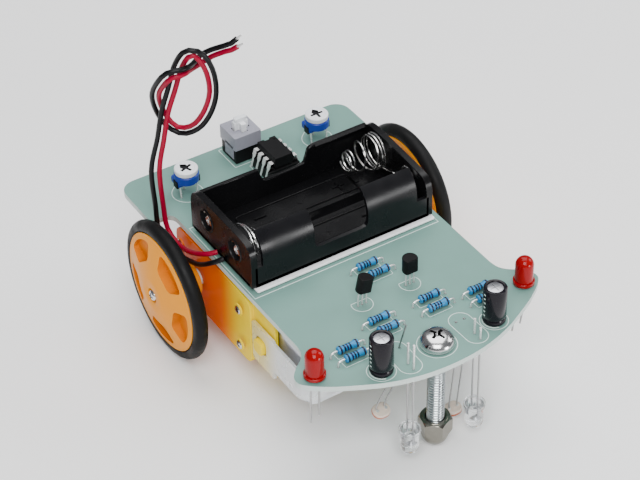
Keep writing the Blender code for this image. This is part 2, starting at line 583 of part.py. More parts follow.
def wheel(side, name):
    """Dished orange wheel with five pockets, its rubber tyre and the screw that holds it on the shaft."""
    pivot = (side * WHEEL_OUT, 0.0, AXLE_Z)
    rim = [(0, WHEEL_IN), (HUB_R - 0.9, WHEEL_IN), (HUB_R - 1.5, WHEEL_IN + 0.8),
           (HUB_R - 1.5, WHEEL_OUT - 0.8), (HUB_R - 0.9, WHEEL_OUT), (HUB_R - 1.2, WHEEL_OUT),
           (5.0, HUB_FACE), (2.3, HUB_FACE), (2.1, HUB_FACE - 0.8), (0, HUB_FACE - 0.8)]
    hub = lathe([(radius, side * along) for radius, along in rim], "x", 0.0, AXLE_Z, 40)
    low, high = across(side, 31.0, WHEEL_IN + 0.5)
    hub = join(hub, rod("x", 0.0, AXLE_Z, 4.6, low, high, 16))
    pockets = []
    for i in range(5):
        middle = math.radians(51 + 72 * i)
        shape = []
        for radius, turn in ((9.8, -20), (15.5, -23), (15.7, 0), (15.5, 23), (9.8, 20), (9.4, 0)):
            angle = middle + math.radians(turn)
            shape.append((radius * math.cos(angle), AXLE_Z + radius * math.sin(angle)))
        low, high = across(side, WHEEL_OUT - 1.2, HUB_FACE + 1.0)
        pockets.append(prism(shape, low, high, "x"))
    low, high = across(side, 20.0, 39.6)
    bore = rod("x", 0.0, AXLE_Z, SHAFT_R + GAP, low, high, 20)
    low, high = across(side, 39.0, 46.0)
    hub = cut(hub, *pockets, bore, rod("x", 0.0, AXLE_Z, 1.3, low, high, 16))
    node("wheel_%s" % name, hub, "orange_plastic", pivot)
    middle = 0.5 * (WHEEL_IN + WHEEL_OUT)
    band = [(HUB_R - 1.2, -0.9), (HUB_R - 0.5, -2.0), (TYRE_R - 0.6, -1.6), (TYRE_R, -0.6),
            (TYRE_R, 0.6), (TYRE_R - 0.6, 1.6), (HUB_R - 0.5, 2.0), (HUB_R - 1.2, 0.9)]
    tyre = lathe([(r, side * (middle + a)) for r, a in band], "x", 0.0, AXLE_Z, 40)
    node("tyre_%s" % name, tyre, "tyre", pivot)
    seat = HUB_FACE - 0.8 + GAP
    head = [(0, 36.4), (0.95, 36.4), (0.95, seat), (1.6, seat), (1.6, seat + 0.4), (1.1, seat + 0.85),
            (0, seat + 0.95)]
    screw = lathe([(radius, side * along) for radius, along in head], "x", 0.0, AXLE_Z, 12)
    low, high = across(side, seat + 0.45, 46.0)
    cross = [box((low, -1.0, AXLE_Z - 0.2), (high, 1.0, AXLE_Z + 0.2)),
             box((low, -0.2, AXLE_Z - 1.0), (high, 0.2, AXLE_Z + 1.0))]
    node("wheel_screw_%s" % name, cut(screw, *cross), "steel", pivot)


def gear_outline(teeth, y, phase):
    """Outline of a straight-toothed gear in the plane across the axle, with running clearance."""
    pitch_r = 0.5 * GEAR_MODULE * teeth
    step = 2.0 * math.pi / teeth
    outline = []
    for i in range(teeth):
        middle = phase + i * step
        for turn, radius in ((-0.27, -0.62), (-0.12, 0.38), (0.12, 0.38), (0.27, -0.62)):
            angle = middle + turn * step
            reach = pitch_r + radius
            outline.append((y + reach * math.cos(angle), AXLE_Z + reach * math.sin(angle)))
    return outline


def output_gear(side, name):
    """Large gear on the shaft that carries the wheel."""
    low, high = across(side, 22.0, 26.0)
    gear = prism(gear_outline(OUTPUT_TEETH, 0.0, math.pi), low, high, "x")
    low, high = across(side, 13.2, 39.0)
    shaft = rod("x", 0.0, AXLE_Z, SHAFT_R - 0.3, low, high, 20)
    low, high = across(side, 36.0, 45.0)
    gear = cut(join(gear, shaft), rod("x", 0.0, AXLE_Z, 1.25, low, high, 12))
    node("output_gear_%s" % name, gear, "white_plastic", (side * 24.0, 0.0, AXLE_Z))


def cluster_gear(side, name):
    """Crown gear driven by the motor, with the small gear that drives the output gear."""
    low, high = across(side, 21.4, 26.4)
    phase = math.pi / CLUSTER_TEETH
    small = prism(gear_outline(CLUSTER_TEETH, CLUSTER_Y, phase), low, high, "x")
    low, high = across(side, 17.0, 18.4)
    disc = rod("x", CLUSTER_Y, AXLE_Z, 8.2, low, high, 30)
    low, high = across(side, 13.0, 27.6)
    pin = rod("x", CLUSTER_Y, AXLE_Z, 1.4, low, high, 12)
    low, high = across(side, 18.2, 19.45)
    teeth = []
    for i in range(CROWN_TEETH):
        turn = math.pi + 2.0 * math.pi * (i + 0.5) / CROWN_TEETH
        shape = []
        for radius, half in ((6.9, 0.22), (6.9, -0.22), (8.1, -0.22), (8.1, 0.22)):
            y = CLUSTER_Y + radius * math.cos(turn) - half * math.sin(turn)
            z = AXLE_Z + radius * math.sin(turn) + half * math.cos(turn)
            shape.append((y, z))
        teeth.append(shape)
    ring = bmesh.new()
    for shape in teeth:
        tooth = prism(shape, low, high, "x")
        ring.from_mesh(tooth.data)
        bpy.data.objects.remove(tooth, do_unlink=True)
    mesh = bpy.data.meshes.new("teeth")
    ring.to_mesh(mesh)
    ring.free()
    crown = bpy.data.objects.new("teeth", mesh)
    bpy.context.scene.collection.objects.link(crown)
    gear = join(disc, crown, small, pin)
    node("cluster_gear_%s" % name, gear, "white_plastic", (side * 18.0, CLUSTER_Y, AXLE_Z))


def motor_pinion(side, name):
    """Small gear on the motor's shaft, in mesh with the crown gear."""
    centre = side * DRIVE_X
    pitch_r = CROWN_R * PINION_TEETH / CROWN_TEETH
    step = 2.0 * math.pi / PINION_TEETH
    outline = []
    for i in range(PINION_TEETH):
        middle = i * step
        for turn, radius in ((-0.24, -0.5), (-0.09, 0.38), (0.09, 0.38), (0.24, -0.5)):
            angle = middle + turn * step
            reach = pitch_r + radius
            outline.append((centre + reach * math.cos(angle), AXLE_Z + reach * math.sin(angle)))
    pinion = prism(outline, -20.0, -18.2, "y")
    shaft = rod("y", centre, AXLE_Z, 0.75, -33.0, -18.6, 12)
    node("motor_pinion_%s" % name, join(pinion, shaft), "steel", (centre, -20.0, AXLE_Z))


def gearbox(side, name):
    """The two halves of the gearbox shell, the motor in its neck, and the strap round the motor."""
    low_z, high_z = AXLE_Z - GEARBOX_HALF_HIGH, AXLE_Z + GEARBOX_HALF_HIGH
    outline = rounded(GEARBOX_FRONT, low_z, GEARBOX_REAR, high_z, 3.0)
    inside = rounded(GEARBOX_FRONT + 1.6, low_z + 1.6, GEARBOX_REAR - 1.6, high_z - 1.6, 1.6)
    halves = ((GEARBOX_OUT, DRIVE_X + 0.15, "outer"), (DRIVE_X - 0.15, GEARBOX_IN, "inner"))
    for out, inn, half in halves:
        low, high = across(side, inn, out)
        shell = prism(outline, low, high, "x")
        neck_out, neck_in = (min(out, DRIVE_X + 8.2), max(inn, DRIVE_X - 8.2))
        low, high = across(side, neck_in, neck_out)
        neck = rounded(NECK_FRONT, low_z + 2.7, GEARBOX_FRONT + 2.0, high_z - 0.6, 1.0, 2)
        shell = join(shell, prism(neck, low, high, "x"))
        near, far = (inn - 1.0, out - 1.6) if half == "outer" else (inn + 1.6, out + 1.0)
        low, high = across(side, near, far)
        hollow = prism(inside, low, high, "x")
        cavity_out, cavity_in = DRIVE_X + 7.2, DRIVE_X - 7.2
        low, high = across(side, cavity_in, cavity_out)
        seat = rounded(NECK_FRONT - 2.0, AXLE_Z - 10.0, GEARBOX_FRONT - 1.5, AXLE_Z + 10.0, 0.2, 1)
        seat = prism(seat, low, high, "x")
        bearing = rod("y", side * DRIVE_X, AXLE_Z, 1.4, GEARBOX_FRONT - 3.0, GEARBOX_FRONT + 4.0, 16)
        shell = cut(shell, hollow, seat, bearing)
        if half == "outer":
            low, high = across(side, GEARBOX_OUT - 4.0, GEARBOX_OUT + 1.0)
            shell = cut(shell, rod("x", 0.0, AXLE_Z, SHAFT_R, low, high, 20))
            low, high = across(side, DRIVE_X + 0.15, DRIVE_X + 3.0)
            tab = cut(box((low, GEARBOX_REAR - 1.0, AXLE_Z - 3.0), (high, GEARBOX_REAR + 4.8, AXLE_Z + 3.0)),
                      rod("x", GEARBOX_REAR + 2.4, AXLE_Z, 1.5, low - 1.0, high + 1.0, 16))
            low, high = across(side, DRIVE_X + 7.4, GEARBOX_OUT + 1.1)
            peg = prism(rounded(PEG_Y - 2.1, PEG_Z - 2.1, PEG_Y + 2.1, PEG_Z + 2.1, 1.2, 3), low, high, "x")
            shell = join(shell, tab, peg)
        node("gearbox_%s_%s" % (name, half), shell, "yellow_plastic")
    motor(side, name)
    strap(side, name)


def motor(side, name):
    """Flat-sided motor can with its bearing boss and end cap step."""
    x = side * DRIVE_X
    low, high = x - 6.9, x + 6.9
    can = prism(rounded(low, AXLE_Z - 9.7, high, AXLE_Z + 9.7, 3.4, 4), MOTOR_FRONT, GEARBOX_FRONT - 1.9, "y")
    can = cut(can, rod("y", x, AXLE_Z, 1.2, -34.0, -20.0, 16))
    node("motor_%s" % name, can, "steel")


def strap(side, name):
    """Clear plastic strap that hooks on the neck's peg and runs round the end of the motor."""
    x = side * DRIVE_X
    outer = rounded(x - 9.3, MOTOR_FRONT - 2.6, x + 9.3, 0.0, 4.6, 6)
    inner = rounded(x - 8.5, MOTOR_FRONT - 1.8, x + 8.5, 2.0, 3.8, 6)
    band = prism(outer, AXLE_Z - 5.0, AXLE_Z + 5.0)
    band = cut(band, prism(inner, AXLE_Z - 9.0, AXLE_Z + 9.0))
    band = cut(band, box((x - 12.0, GEARBOX_FRONT - 0.4, AXLE_Z - 9.0), (x + 12.0, 5.0, AXLE_Z + 9.0)))
    low, high = across(side, DRIVE_X + 8.5, DRIVE_X + 9.3)
    plate = rounded(NECK_FRONT - 0.8, AXLE_Z - 7.6, GEARBOX_FRONT - 0.4, AXLE_Z + 5.6, 0.8, 2)
    band = join(band, prism(plate, low, high, "x"))
    low, high = across(side, DRIVE_X + 6.0, DRIVE_X + 12.0)
    hole = prism(rounded(PEG_Y - 2.5, PEG_Z - 2.5, PEG_Y + 2.5, PEG_Z + 2.5, 1.4, 3), low, high, "x")
    band = cut(band, hole)
    node("motor_strap_%s" % name, band, "strap")


def smooth_route(points, step):
    """Evenly spaced points on a smooth curve through the route points."""
    points = [Vector(point) for point in points]
    ends = [2 * points[0] - points[1]] + points + [2 * points[-1] - points[-2]]
    fine = []
    for i in range(1, len(ends) - 2):
        a, b, c, d = ends[i - 1:i + 3]
        for k in range(20):
            t = k / 20
            fine.append(0.5 * (2 * b + (c - a) * t + (2 * a - 5 * b + 4 * c - d) * t * t
                               + (3 * b - a - 3 * c + d) * t ** 3))
    fine.append(points[-1])
    total = sum((q - p).length for p, q in zip(fine, fine[1:]))
    count = round(total / step)
    route = [fine[0]]
    walked = 0.0
    for p, q in zip(fine, fine[1:]):
        walked += (q - p).length
        if len(route) < count and walked >= total * len(route) / count:
            route.append(q)
    route.append(fine[-1])
    return route


def battery_lead(name, points, look):
    """Insulated lead as a round cord along its route."""
    curve = bpy.data.curves.new(name, "CURVE")
    curve.dimensions = "3D"
    curve.bevel_depth = LEAD_R * MM
    curve.bevel_resolution = 2
    curve.use_fill_caps = True
    route = smooth_route(points, LEAD_STEP)
    spline = curve.splines.new("POLY")
    spline.points.add(len(route) - 1)
    for spot, point in zip(spline.points, route):
        spot.co = (*((point + ORIGIN) * MM), 1.0)
    curve.materials.append(material(look))
    lead = bpy.data.objects.new(name, curve)
    bpy.context.scene.collection.objects.link(lead)


def build():
    """Make every node of the car."""
    clear_scene()
    circuit_board()
    battery_tray()
    battery_contacts()
    push_switch()
    chip()
    skid_screw()
    for number, (x, y) in enumerate(RESISTORS, 1):
        resistor(number, x, y)
    for side, name, lean in ((-1, "left", 12.0), (1, "right", 0.0)):
        trimmer(name)
        capacitor(side, name)
        red_led(side, name)
        transistor(side, name, lean)
        wheel(side, name)
        output_gear(side, name)
        cluster_gear(side, name)
        motor_pinion(side, name)
        gearbox(side, name)
    clear_led(-1, "left", -21.4)
    clear_led(1, "right", -23.2)
    light_sensor(-1, "left", (-14.6, -67.4, -18.6), 24.0)
    light_sensor(1, "right", (8.6, -67.0, -30.6), 8.0)
    battery_lead("battery_lead_black", BLACK_ROUTE, "black_lead")
    battery_lead("battery_lead_red", RED_ROUTE, "red_lead")


build()
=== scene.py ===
"""Looks of the two wheel robot car: detailed pieces and materials built round its CAD frame."""

import math

import bmesh
import bpy
from mathutils import Matrix, Vector


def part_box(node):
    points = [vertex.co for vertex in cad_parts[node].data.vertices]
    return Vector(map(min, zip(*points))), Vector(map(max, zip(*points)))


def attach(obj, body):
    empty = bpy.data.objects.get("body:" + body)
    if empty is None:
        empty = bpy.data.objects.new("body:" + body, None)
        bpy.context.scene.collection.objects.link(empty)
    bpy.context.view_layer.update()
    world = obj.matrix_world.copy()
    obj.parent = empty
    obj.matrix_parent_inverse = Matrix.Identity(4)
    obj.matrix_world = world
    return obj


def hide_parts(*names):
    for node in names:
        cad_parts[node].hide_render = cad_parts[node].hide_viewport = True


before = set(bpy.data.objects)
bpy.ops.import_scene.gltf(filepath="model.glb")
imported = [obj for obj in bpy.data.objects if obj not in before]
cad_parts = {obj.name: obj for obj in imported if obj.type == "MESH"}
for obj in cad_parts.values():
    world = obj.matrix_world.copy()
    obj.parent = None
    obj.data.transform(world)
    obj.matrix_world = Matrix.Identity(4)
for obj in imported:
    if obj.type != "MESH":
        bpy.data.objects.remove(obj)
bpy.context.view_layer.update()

MM = 0.001
PITCH = 2.54
HALF = PITCH / 2
SHARP = 32
SIDES = ((-1, "left"), (1, "right"))
RESISTORS = range(1, 11)
RESISTOR_SPAN = 5.08
LEAD_R = 0.72
WIRE_STEP = 2.2
HEX_FLAT = 8.0

BLACK_ROUTE = [(-29.4, -14.6, 2.3), (-31.9, -13.4, 1.3), (-33.2, -8.0, -2.6), (-33.4, -2.0, -5.2),
               (-34.0, 4.0, -6.6), (-34.9, 8.8, -5.5), (-35.4, 10.9, -1.0), (-35.5, 11.2, 6.0),
               (-35.5, 11.8, 17.6), (-33.4, 10.8, 27.9), (-32.2, 9.6, 36.7), (-30.5, 8.0, 44.6),
               (-29.0, 6.6, 51.8), (-27.5, 3.0, 57.7), (-23.9, 0.9, 56.9), (-21.4, 0.0, 51.2),
               (-20.4, 0.8, 43.4), (-21.4, 2.5, 36.4), (-23.4, 5.9, 30.1), (-26.3, 10.3, 26.8),
               (-29.5, 13.2, 29.2), (-32.2, 13.3, 35.8), (-34.2, 9.9, 43.7), (-33.3, 5.0, 51.2),
               (-30.8, 3.4, 52.6), (-28.3, 2.4, 52.9), (-24.5, 5.1, 51.4), (-21.9, 6.9, 51.4),
               (-19.9, 5.7, 53.2), (-17.5, 2.2, 55.8), (-15.8, 0.5, 56.9), (-14.5, -0.9, 58.8)]
RED_ROUTE = [(-29.4, -11.3, 2.3), (-31.9, -9.8, 1.7), (-32.9, -4.0, -1.4), (-32.9, 2.0, -3.8),
             (-33.0, 6.5, -3.9), (-33.3, 9.7, -1.4), (-33.5, 10.4, 5.0), (-33.7, 10.6, 17.4),
             (-32.0, 9.8, 27.7), (-30.8, 8.7, 36.2), (-29.0, 7.1, 44.0), (-27.5, 5.7, 50.9),
             (-26.6, 2.5, 56.1), (-24.9, 1.7, 55.5), (-22.9, 0.9, 50.7), (-21.8, 1.8, 43.6),
             (-22.8, 3.4, 37.2), (-24.5, 6.5, 31.5), (-26.5, 10.3, 28.8), (-28.4, 12.3, 30.4),
             (-30.7, 12.4, 36.2), (-32.7, 9.0, 43.3), (-32.1, 4.2, 49.9), (-30.4, 3.2, 50.7),
             (-28.6, 2.7, 51.0), (-25.0, 5.5, 49.6), (-21.4, 6.5, 49.6), (-19.0, 5.2, 51.5),
             (-16.8, 1.9, 54.1), (-14.9, 0.1, 55.2), (-14.3, -0.7, 56.2)]

CAMERA_AT = Vector((-0.22748, -0.36173, 0.388))
CAMERA_RIGHT = Vector((0.84445, -0.53536, -0.01705))
CAMERA_BACK = Vector((-0.40424, -0.65785, 0.63548))
CAMERA_LENS = 116.5
LAMPS = (("key", (-0.35, -0.55, 0.75), 0.6, 11.5), ("top", (0.15, 0.25, 0.9), 0.8, 9.5),
         ("rim", (0.75, -0.1, 0.45), 0.4, 2.6), ("low", (0.33, -0.78, 0.12), 0.22, 3.0))

# Material rows: name, colour, roughness, gloss, metal, colour change, grain size, relief, clearness
FINISHES = (
    ("board_mask", (0.145, 0.275, 0.24), 0.36, 0.3, 0.0, 0.05, 160.0, 0.0),
    ("board_edge", (0.50, 0.57, 0.54), 0.6, 0.5, 0.0, 0.12, 2500.0),
    ("trace", (0.105, 0.22, 0.19), 0.3),
    ("silk", (0.60, 0.74, 0.69), 0.6, 0.5, 0.0, 0.08, 3000.0),
    ("solder", (0.78, 0.78, 0.77), 0.26, 0.5, 0.6, 0.12, 1800.0, 0.25),
    ("tin", (0.40, 0.40, 0.40), 0.35, 0.5, 1.0, 0.12, 1800.0, 0.2),
    ("black_gloss", (0.004, 0.004, 0.0045), 0.26, 0.2, 0.0, 0.2, 900.0, 0.06),
    ("black_sheen", (0.004, 0.004, 0.005), 0.3, 0.24, 0.0, 0.2, 900.0, 0.04),
    ("black", (0.006, 0.006, 0.0065), 0.42, 0.12, 0.0, 0.2, 900.0, 0.15),
    ("foam", (0.88, 0.90, 0.90), 0.85, 0.5, 0.0, 0.12, 2500.0, 0.6),
    ("spring", (0.74, 0.74, 0.73), 0.24, 0.5, 1.0, 0.12, 900.0, 0.0),
    ("grey", (0.27, 0.27, 0.32), 0.38, 0.3, 0.0, 0.05),
    ("white", (0.80, 0.82, 0.85), 0.35, 0.5, 0.0, 0.03),
    ("blue", (0.008, 0.035, 0.30), 0.32, 0.3, 0.0, 0.1),
    ("ink", (0.010, 0.010, 0.012), 0.5, 0.15, 0.0, 0.1),
    ("sleeve", (0.006, 0.005, 0.008), 0.2, 0.2, 0.0, 0.15),
    ("aluminium", (0.50, 0.51, 0.54), 0.32, 0.5, 1.0, 0.12, 1500.0, 0.1),
    ("red_lens", (0.25, 0.0, 0.002), 0.12, 0.2, 0.0, 0.06, 900.0, 0.0),
    ("clear_lens", (0.97, 0.98, 1.0), 0.06, 0.5, 0.0, 0.01, 900.0, 0.0, 0.9),
    ("frame_metal", (0.42, 0.43, 0.45), 0.3, 0.5, 1.0),
    ("ceramic", (0.60, 0.50, 0.42), 0.3, 0.5, 0.0, 0.05),
    ("sensor_face", (0.40, 0.09, 0.03), 0.35, 0.3),
    ("resistor", (0.015, 0.21, 0.46), 0.28, 0.3, 0.0, 0.1),
    ("band_navy", (0.004, 0.005, 0.018), 0.3, 0.3),
    ("band_brown", (0.02, 0.008, 0.012), 0.3, 0.3),
    ("band_violet", (0.012, 0.006, 0.04), 0.3, 0.3),
    ("chrome", (0.62, 0.62, 0.62), 0.2, 0.5, 1.0, 0.12, 900.0, 0.03),
    ("zinc", (0.42, 0.46, 0.47), 0.3, 0.5, 1.0),
    ("nickel", (0.26, 0.245, 0.21), 0.2, 0.5, 1.0, 0.12, 900.0, 0.08),
    ("motor_can", (0.56, 0.57, 0.62), 0.34, 0.5, 1.0, 0.12, 1500.0, 0.12),
    ("brass", (0.72, 0.52, 0.20), 0.25, 0.5, 1.0),
    ("orange", (0.80, 0.29, 0.0), 0.38, 0.12, 0.0, 0.03, 300.0),
    # Wheel orange with painted shade, given to the inside faces of the wheel's pockets and bores.
    ("orange_deep", (0.62, 0.17, 0.0), 0.42, 0.1, 0.0, 0.05, 300.0),
    ("rubber", (0.006, 0.006, 0.0063), 0.5, 0.12, 0.0, 0.2, 2500.0, 0.3),
    ("gearbox", (0.86, 0.62, 0.0), 0.36, 0.15, 0.0, 0.04, 300.0),
    ("strap", (0.93, 0.95, 0.96), 0.25, 0.5, 0.0, 0.03, 900.0, 0.1, 0.4),
    ("gear", (0.84, 0.84, 0.80), 0.4, 0.5, 0.0, 0.04),
    ("red_lead", (0.27, 0.0, 0.022), 0.36, 0.16, 0.0, 0.1, 900.0, 0.1),
    ("black_lead", (0.004, 0.004, 0.005), 0.32, 0.18, 0.0, 0.2, 900.0, 0.1))
LOOKS = {}


def centre_of(node):
    """Middle of a CAD node's box, in metres."""
    low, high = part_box(node)
    return (low + high) / 2


TYRE_LOW, TYRE_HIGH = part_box("tyre_left")
BOARD_LOW, BOARD_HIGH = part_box("circuit_board")
ORIGIN = Vector((0.0, centre_of("tyre_left").y, BOARD_HIGH.z))
AXLE_Z = (centre_of("tyre_left").z - ORIGIN.z) / MM
TYRE_R = (TYRE_HIGH.z - TYRE_LOW.z) / 2 / MM
BOARD_THICK = (BOARD_HIGH.z - BOARD_LOW.z) / MM


def spot(node):
    """Middle of a node's box in board coordinates: millimetres from the axle line and the board's top."""
    return (centre_of(node) - ORIGIN) / MM


def limits(node):
    """Both corners of a node's box in board coordinates."""
    low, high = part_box(node)
    return (low - ORIGIN) / MM, (high - ORIGIN) / MM


def outermost(node):
    """How far a node reaches sideways from the middle plane."""
    return max(abs(corner.x) for corner in limits(node))


SCREW = spot("skid_screw")
TYRE_IN = min(abs(corner.x) for corner in limits("tyre_right"))
SENSOR_AT = Vector((10.0, -66.9))
SENSOR_DISC = {"left": (-14.6, -67.4, -18.6), "right": (8.6, -67.0, -30.6)}
SENSOR_LEAN = {"left": 24.0, "right": 8.0}
SENSOR_LEADS = {"left": (1.0, 6.6), "right": (0.1, 0.1)}
LAMP_LEADS = {"left": (3.0, 1.8), "right": (-1.2, 0.0)}
TRANSISTOR_AT = {"left": Vector((-7.45, -47.8)), "right": Vector((7.45, -47.8))}
TRANSISTOR_LEAN = {"left": 12.0, "right": 0.0}
RED_LEAN = {"left": -0.1, "right": -1.5}
TRIMMER_TURN = {"left": 20.0, "right": 0.0}
SCREW_TURN = 20.0
BAY_WIDE = 14.7
LIP_IN = BAY_WIDE / 2 + 0.05
LIP_OUT = BAY_WIDE / 2 + 1.1
TRAY_HIGH = 13.7
PEG_Y = -33.3
PEG_Z = AXLE_Z - 0.4
GEARBOX_FRONT = -28.3
LIPS = ((-25.4, -9.5), (7.2, 22.8))
PAIR = ((-HALF, 0), (HALF, 0))
TRIMMER_LEGS = ((-PITCH, -1), (PITCH, -1), (0, 2.2))
SWITCH_LEGS = [(dx, dy) for dx in (-2.5, 2.5) for dy in (-2, 0, 2)]
CHIP_LEGS = [(way, (i - 1.5) * PITCH) for way in (-1, 1) for i in range(4)]
BANDS = ("band_navy", "band_violet", "band_navy", "band_navy", "band_brown")
ARROW = [(-0.4, -1.9), (0.4, -1.9), (0.4, -0.4), (1.9, -0.4), (1.9, 0.4), (0.9, 0.4), (1.1, 1.1),
         (0.0, 2.4), (-1.1, 1.1), (-0.9, 0.4), (-1.9, 0.4), (-1.9, -0.4), (-0.4, -0.4)]


def aim_camera():
    """Camera that sees the car from the front left and above."""
    data = bpy.data.cameras.new("camera")
    data.lens = CAMERA_LENS
    data.sensor_width = 36.0
    data.clip_start = 0.01
    camera = bpy.data.objects.new("camera", data)
    bpy.context.scene.collection.objects.link(camera)
    up = CAMERA_BACK.cross(CAMERA_RIGHT)
    turn = Matrix((CAMERA_RIGHT, up, CAMERA_BACK)).transposed()
    camera.matrix_world = Matrix.Translation(CAMERA_AT) @ turn.to_4x4()
    bpy.context.scene.camera = camera


# Materials


def shader_of(material):
    """The Principled shader of a material."""
    return material.node_tree.nodes["Principled BSDF"]


def noise(material, scale, detail=4.0, roughness=0.5):
    """Noise texture laid out in the object's own coordinates."""
    nodes, links = material.node_tree.nodes, material.node_tree.links
    place = nodes.new("ShaderNodeTexCoord")
    texture = nodes.new("ShaderNodeTexNoise")
    texture.inputs["Scale"].default_value = scale
    texture.inputs["Detail"].default_value = detail
    texture.inputs["Roughness"].default_value = roughness
    links.new(place.outputs["Object"], texture.inputs["Vector"])
    return texture


def spread(material, source, low, high):
    """Map a 0 to 1 value onto a range."""
    nodes, links = material.node_tree.nodes, material.node_tree.links
    scale = nodes.new("ShaderNodeMapRange")
    scale.inputs["From Min"].default_value = 0.3
    scale.inputs["From Max"].default_value = 0.7
    scale.inputs["To Min"].default_value = low
    scale.inputs["To Max"].default_value = high
    links.new(source, scale.inputs["Value"])
    return scale.outputs["Result"]


def surface(name, colour, rough, gloss=0.5, metal=0.0, vary=0.12, scale=900.0, bump=0.05, clear=0.0):
    """Principled material with uneven colour and gloss and a fine grain."""
    material = bpy.data.materials.new(name)
    material.use_nodes = True
    nodes, links = material.node_tree.nodes, material.node_tree.links
    shader = shader_of(material)
    texture = noise(material, scale)
    mix = nodes.new("ShaderNodeMix")
    mix.data_type = "RGBA"
    mix.inputs["A"].default_value = (*[channel * (1.0 - vary) for channel in colour], 1.0)
    mix.inputs["B"].default_value = (*[min(1.0, channel * (1.0 + vary)) for channel in colour], 1.0)
    links.new(texture.outputs["Fac"], mix.inputs["Factor"])
    links.new(mix.outputs["Result"], shader.inputs["Base Color"])
    broad = noise(material, scale * 0.12, 2.0)
    links.new(spread(material, broad.outputs["Fac"], rough * 0.8, rough * 1.25), shader.inputs["Roughness"])
    shader.inputs["Metallic"].default_value = metal
    shader.inputs["Specular IOR Level"].default_value = gloss
    shader.inputs["Transmission Weight"].default_value = clear
    if bump:
        grain(material, texture.outputs["Fac"], bump, 0.0001)
    return material


def grain(material, height, strength, depth):
    """Raise a material's surface a little by a texture."""
    nodes, links = material.node_tree.nodes, material.node_tree.links
    relief = nodes.new("ShaderNodeBump")
    relief.inputs["Strength"].default_value = strength
    relief.inputs["Distance"].default_value = depth
    links.new(height, relief.inputs["Height"])
    links.new(relief.outputs["Normal"], shader_of(material).inputs["Normal"])


def weave(material):
    """Faint glass weave under the board's lacquer."""
    nodes, links = material.node_tree.nodes, material.node_tree.links
    where = nodes.new("ShaderNodeTexCoord")
    checks = nodes.new("ShaderNodeTexChecker")
    checks.inputs["Scale"].default_value = 2400.0
    links.new(where.outputs["Object"], checks.inputs["Vector"])
    grain(material, checks.outputs["Fac"], 0.06, 0.00005)


def painted_light_fade(material, colour, front, rear):
    """Change a material's colour between two distances along the car, to paint light and shade into it."""
    nodes, links = material.node_tree.nodes, material.node_tree.links
    where = nodes.new("ShaderNodeTexCoord")
    split = nodes.new("ShaderNodeSeparateXYZ")
    links.new(where.outputs["Object"], split.inputs["Vector"])
    fade = nodes.new("ShaderNodeMapRange")
    fade.interpolation_type = "SMOOTHSTEP"
    fade.inputs["From Min"].default_value = front * MM + ORIGIN.y
    fade.inputs["From Max"].default_value = rear * MM + ORIGIN.y
    links.new(split.outputs["Y"], fade.inputs["Value"])
    mix = nodes.new("ShaderNodeMix")
    mix.data_type = "RGBA"
    shader = shader_of(material)
    links.new(shader.inputs["Base Color"].links[0].from_socket, mix.inputs["A"])
    mix.inputs["B"].default_value = (*colour, 1.0)
    links.new(fade.outputs["Result"], mix.inputs["Factor"])
    links.new(mix.outputs["Result"], shader.inputs["Base Color"])


def make_looks():
    """All the materials of the car."""
    for row in FINISHES:
        LOOKS[row[0]] = surface(*row)
    weave(LOOKS["board_mask"])
    # Painted reflection and shade: the yellow gearbox turns deep orange towards the wheel, as if lit orange
    # by it.
    painted_light_fade(LOOKS["gearbox"], (0.74, 0.125, 0.0), GEARBOX_FRONT + 5.0, GEARBOX_FRONT + 17.0)
    # Painted light: the clear strap turns yellow towards its hook, standing in for the lit yellow gearbox
    # neck seen through it.
    painted_light_fade(LOOKS["strap"], (1.0, 0.86, 0.34), PEG_Y - 9.0, PEG_Y + 1.0)


# Shapes


def link(shape):
    """Put a new object in the scene."""
    bpy.context.scene.collection.objects.link(shape)
    return shape


def solid(points, faces, look):
    """Mesh from board-coordinate points in millimetres."""
    mesh = bpy.data.meshes.new("part")
    mesh.from_pydata([tuple(Vector(point) * MM + ORIGIN) for point in points], [], faces)
    shape = bmesh.new()
    shape.from_mesh(mesh)
    bmesh.ops.remove_doubles(shape, verts=shape.verts, dist=1e-7)
    bmesh.ops.recalc_face_normals(shape, faces=shape.faces)
    shape.to_mesh(mesh)
    shape.free()
    mesh.materials.append(LOOKS[look])
    mesh.shade_smooth()
    return link(bpy.data.objects.new("part", mesh))


def turned(axis, along, u, v):
    """Point from a distance along an axis and the two coordinates across it."""
    return {"x": (along, u, v), "y": (u, along, v), "z": (u, v, along)}[axis]


def tube_faces(rows, count, closed=False):
    """Faces between rings of points, with a cap on each open end."""
    faces = [] if closed else [tuple(range(count)), tuple(range((rows - 1) * count, rows * count))]
    for i in range(rows if closed else rows - 1):
        here, there = i * count, (i + 1) % rows * count
        faces += [(here + k, here + (k + 1) % count, there + (k + 1) % count, there + k)
                  for k in range(count)]
    return faces


def prism(outline, low, high, axis="z", look="black", bevel=0.0):
    """Outline extruded along an axis, with softened edges."""
    points = [turned(axis, along, u, v) for along in (low, high) for u, v in outline]
    return soften(solid(points, tube_faces(2, len(outline)), look), bevel)


def soften(shape, bevel, segments=2):
    """Round a shape's edges and shade it smoothly between them."""
    if bevel:
        edge = shape.modifiers.new("edge", "BEVEL")
        edge.width = bevel * MM
        edge.segments = segments
        edge.limit_method = "ANGLE"
        edge.angle_limit = math.radians(SHARP)
    split_normals(shape)
    return shape


def split_normals(shape):
    """Keep sharp corners sharp."""
    edges = bmesh.new()
    edges.from_mesh(shape.data)
    for edge in edges.edges:
        if len(edge.link_faces) == 2 and edge.calc_face_angle(0.0) > math.radians(SHARP):
            edge.smooth = False
    edges.to_mesh(shape.data)
    edges.free()


def block(low, high, look="black", bevel=0.0):
    """Block between two corners."""
    outline = [(low[0], low[1]), (high[0], low[1]), (high[0], high[1]), (low[0], high[1])]
    return prism(outline, low[2], high[2], "z", look, bevel)


